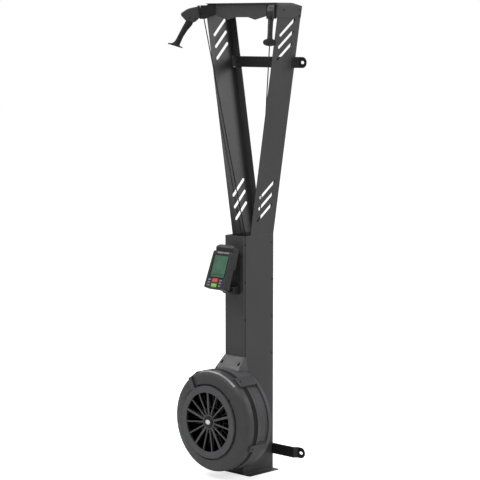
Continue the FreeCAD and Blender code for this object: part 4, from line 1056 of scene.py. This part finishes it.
# each bar's ends: (across, down) in shares of a figure's width and height
bar_end_shares = {"a": (0, 0, 1, 0), "b": (1, 0, 1, 0.5), "c": (1, 0.5, 1, 1), "d": (0, 1, 1, 1),
                  "e": (0, 0.5, 0, 1), "f": (0, 0, 0, 0.5), "g": (0, 0.5, 1, 0.5)}
# rows of figures: text, left edge, top and height, here and below in millimetres
display_rows = [("2000", -38, 25, 13), ("158", -38, 45, 9), ("24", 14, 45, 9), ("0731", -38, 61, 9),
                ("12", 18, 61, 9), ("046", -38, 77, 9), ("5", 24, 77, 9)]
display_lines = [41.5, 57.5, 73.5, 89.5]
line_reach = 40
line_half = 0.4
graph_levels = [9, 13, 11, 16, 14, 18, 15, 19, 17, 14, 12, 15]
graph_start = -36
graph_foot = 115
graph_pitch = 6.4
graph_half = 2.2
ink_depth = 0.88
# shares of a figure's height, and of a bar's half width at its ends
figure_width_share = 0.5
figure_pitch_share = 0.82
figure_stroke_share = 0.06
bar_gap_share = 0.4


def display_bar(first, last, half):
    """A flat bar between two (across, down) places, its ends pointed."""
    way = (Vector(last) - Vector(first)).normalized()
    side = Vector((-way.y, way.x)) * half
    start = Vector(first) + way * half * bar_gap_share
    end = Vector(last) - way * half * bar_gap_share
    outline = [start, start + way * half + side, end - way * half + side, end,
               end - way * half - side, start + way * half - side]
    return [monitor_place(*mm(point.x, point.y, -ink_depth)) for point in outline], [list(range(6))]


def display_figures():
    """Rows of figures, lines between them and a bar graph, all a little darker than the display."""
    parts = []
    for text, left, top, height in display_rows:
        width = height * figure_width_share
        for index, figure in enumerate(text):
            start = left + index * height * figure_pitch_share
            for bar in figure_bars[figure]:
                x0, y0, x1, y1 = bar_end_shares[bar]
                parts.append(display_bar((start + x0 * width, top + y0 * height),
                                         (start + x1 * width, top + y1 * height),
                                         height * figure_stroke_share))
    for down in display_lines:
        parts.append(display_bar((-line_reach, down), (line_reach, down), line_half))
    for index, level in enumerate(graph_levels):
        across = graph_start + index * graph_pitch
        parts.append(display_bar((across, graph_foot), (across, graph_foot - level), graph_half))
    add_piece("display_figures", gather(parts), figure_ink, "monitor")


# Battery door on the monitor's back

door_half = 26 * MM
door_first_down = 96 * MM
door_last_down = 132 * MM
door_corner = 3 * MM
door_sheet = 1 * MM
door_bevel = 0.4 * MM
case_back = 32 * MM
ridge_half = 9 * MM
ridge_rises = mm(4, 7, 10)
ridge_width = 1.4 * MM
ridge_sheet = 1.7 * MM


def behind_case(across, down, out):
    """A place on the monitor, out from the back of its case."""
    return monitor_place(across, down, -case_back - out)


def battery_door():
    """A shallow door with three finger ridges on the lower back of the case."""
    outline = rounded_outline((0, (door_first_down + door_last_down) / 2), 2 * door_half,
                              door_last_down - door_first_down, door_corner)
    parts = [slab(outline, behind_case, door_sheet, door_bevel)]
    for rise in ridge_rises:
        ridge = between(-ridge_half, ridge_half, door_last_down - rise, ridge_width)
        parts.append(slab(ridge, behind_case, ridge_sheet, door_bevel))
    add_piece("battery_door", gather(parts), monitor_plastic, "monitor")


# Welds where the column stands on its plate

weld_radius = 2.4 * MM
weld_step = 2.2 * MM
weld_wave = 0.25 * MM
weld_section_shares = [(-0.2, 1.0), (0.55, 0.62), (1.0, -0.2), (-0.2, -0.2)]


def base_weld():
    """A bead of small ripples along the foot of both column sides."""
    low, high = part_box("right_column_sheet")
    plate_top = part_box("base_plate")[1].z
    steps = int((high.y - low.y) / weld_step)
    parts = []
    for sign in (-1, 1):
        points = []
        for step in range(steps + 1):
            y = low.y + (high.y - low.y) * step / steps
            size = weld_radius + (weld_wave if step % 2 else -weld_wave)
            points += [Vector((sign * (high.x + size * across), y, plate_top + size * up))
                       for across, up in weld_section_shares]
        parts.append((points, ring_faces(len(weld_section_shares), steps + 1, capped=True)))
    add_piece("base_welds", gather(parts), steel_paint, "frame")


soften_edges()
rounded_cover()
mesh_band()
dust_liner()
damper_scale()
damper_numbers()
lever_pad()
track_stop()
cover_recess_shade()
column_joint_shadow()
hub_badge()
frame_screw_heads()
clamp_screw_heads()
for make in (handle_screws, dock_grommet, drive_cord, pull_cord):
    for side in sides:
        make(side)
monitor_trim()
key_rims_on_face()
display_figures()
battery_door()
base_weld()


# Stage, light and camera

floor_half = 30.0
floor_steps = 8
floor_shade = 0.8
# the floor's own glow near the object and far from it, and where it changes
floor_glow = (0.7, 0.85)
glow_reach = (0.5, 3.5)
world_light = 0.3


def add_stage():
    """A plain floor that shows white and keeps the object's faint shadow."""
    pitch = 2 * floor_half / floor_steps
    row = floor_steps + 1
    points = [(x * pitch - floor_half, y * pitch - floor_half, 0) for y in range(row) for x in range(row)]
    starts = [y * row + x for y in range(floor_steps) for x in range(floor_steps)]
    mesh = bpy.data.meshes.new("floor")
    mesh.from_pydata(points, [], [[start, start + 1, start + row + 1, start + row] for start in starts])
    graph = surface("pale_floor", Base_Color=shade(white, floor_shade), Roughness=0.9,
                    Specular_IOR_Level=0.0, Emission_Color=white)
    distance = graph.node("ShaderNodeVectorMath", "Value", {0: graph.place}, operation="LENGTH")
    glow = graph.spread(distance, *floor_glow, *glow_reach, interpolation_type="SMOOTHSTEP")
    mesh.materials.append(graph.finish(Emission_Strength=graph.times(glow, graph.for_camera(0.0, 1.0))))
    link_new("floor", mesh)


def add_world():
    """White where it is seen, and an even softer light elsewhere."""
    graph = Graph(bpy.data.worlds.new("studio"), "Background", Color=white)
    bpy.context.scene.world = graph.finish(Strength=graph.for_camera(world_light, 1.0))


# lamps: place, height that it looks at on the object, size and power
lamps = {
    "overhead_light": ((2.0, -1.2, 6.2), 1.6, 1.8, 120),
    "front_light": ((-0.6, -3.6, 4.6), 1.7, 2.0, 76),
    "left_light": ((-3.2, -0.6, 4.4), 1.0, 2.4, 100),
    "rear_right_light": ((3.4, 3.8, 2.9), 1.6, 2.4, 85),
    "back_light": ((-2.2, 4.0, 3.2), 1.2, 2.0, 40),
}


def add_lamps():
    for name, (place, target_height, size, power) in lamps.items():
        lamp = bpy.data.lights.new(name, "AREA")
        lamp.size = size
        lamp.energy = power
        holder = link_new(name, lamp)
        holder.location = place
        way = Vector((0, 0, target_height)) - Vector(place)
        holder.rotation_euler = way.to_track_quat("-Z", "Y").to_euler()


def add_camera():
    camera = bpy.data.cameras.new("camera")
    camera.lens = camera_lens
    camera.sensor_width = camera_sensor
    camera.clip_end = camera_reach
    holder = link_new("camera", camera)
    holder.location = camera_place
    holder.rotation_euler = (math.radians(90 - camera_down_degrees), 0, math.radians(camera_turn_degrees))
    bpy.context.scene.camera = holder


add_stage()
add_world()
add_lamps()
add_camera()
bpy.context.scene.view_settings.view_transform = "Standard"
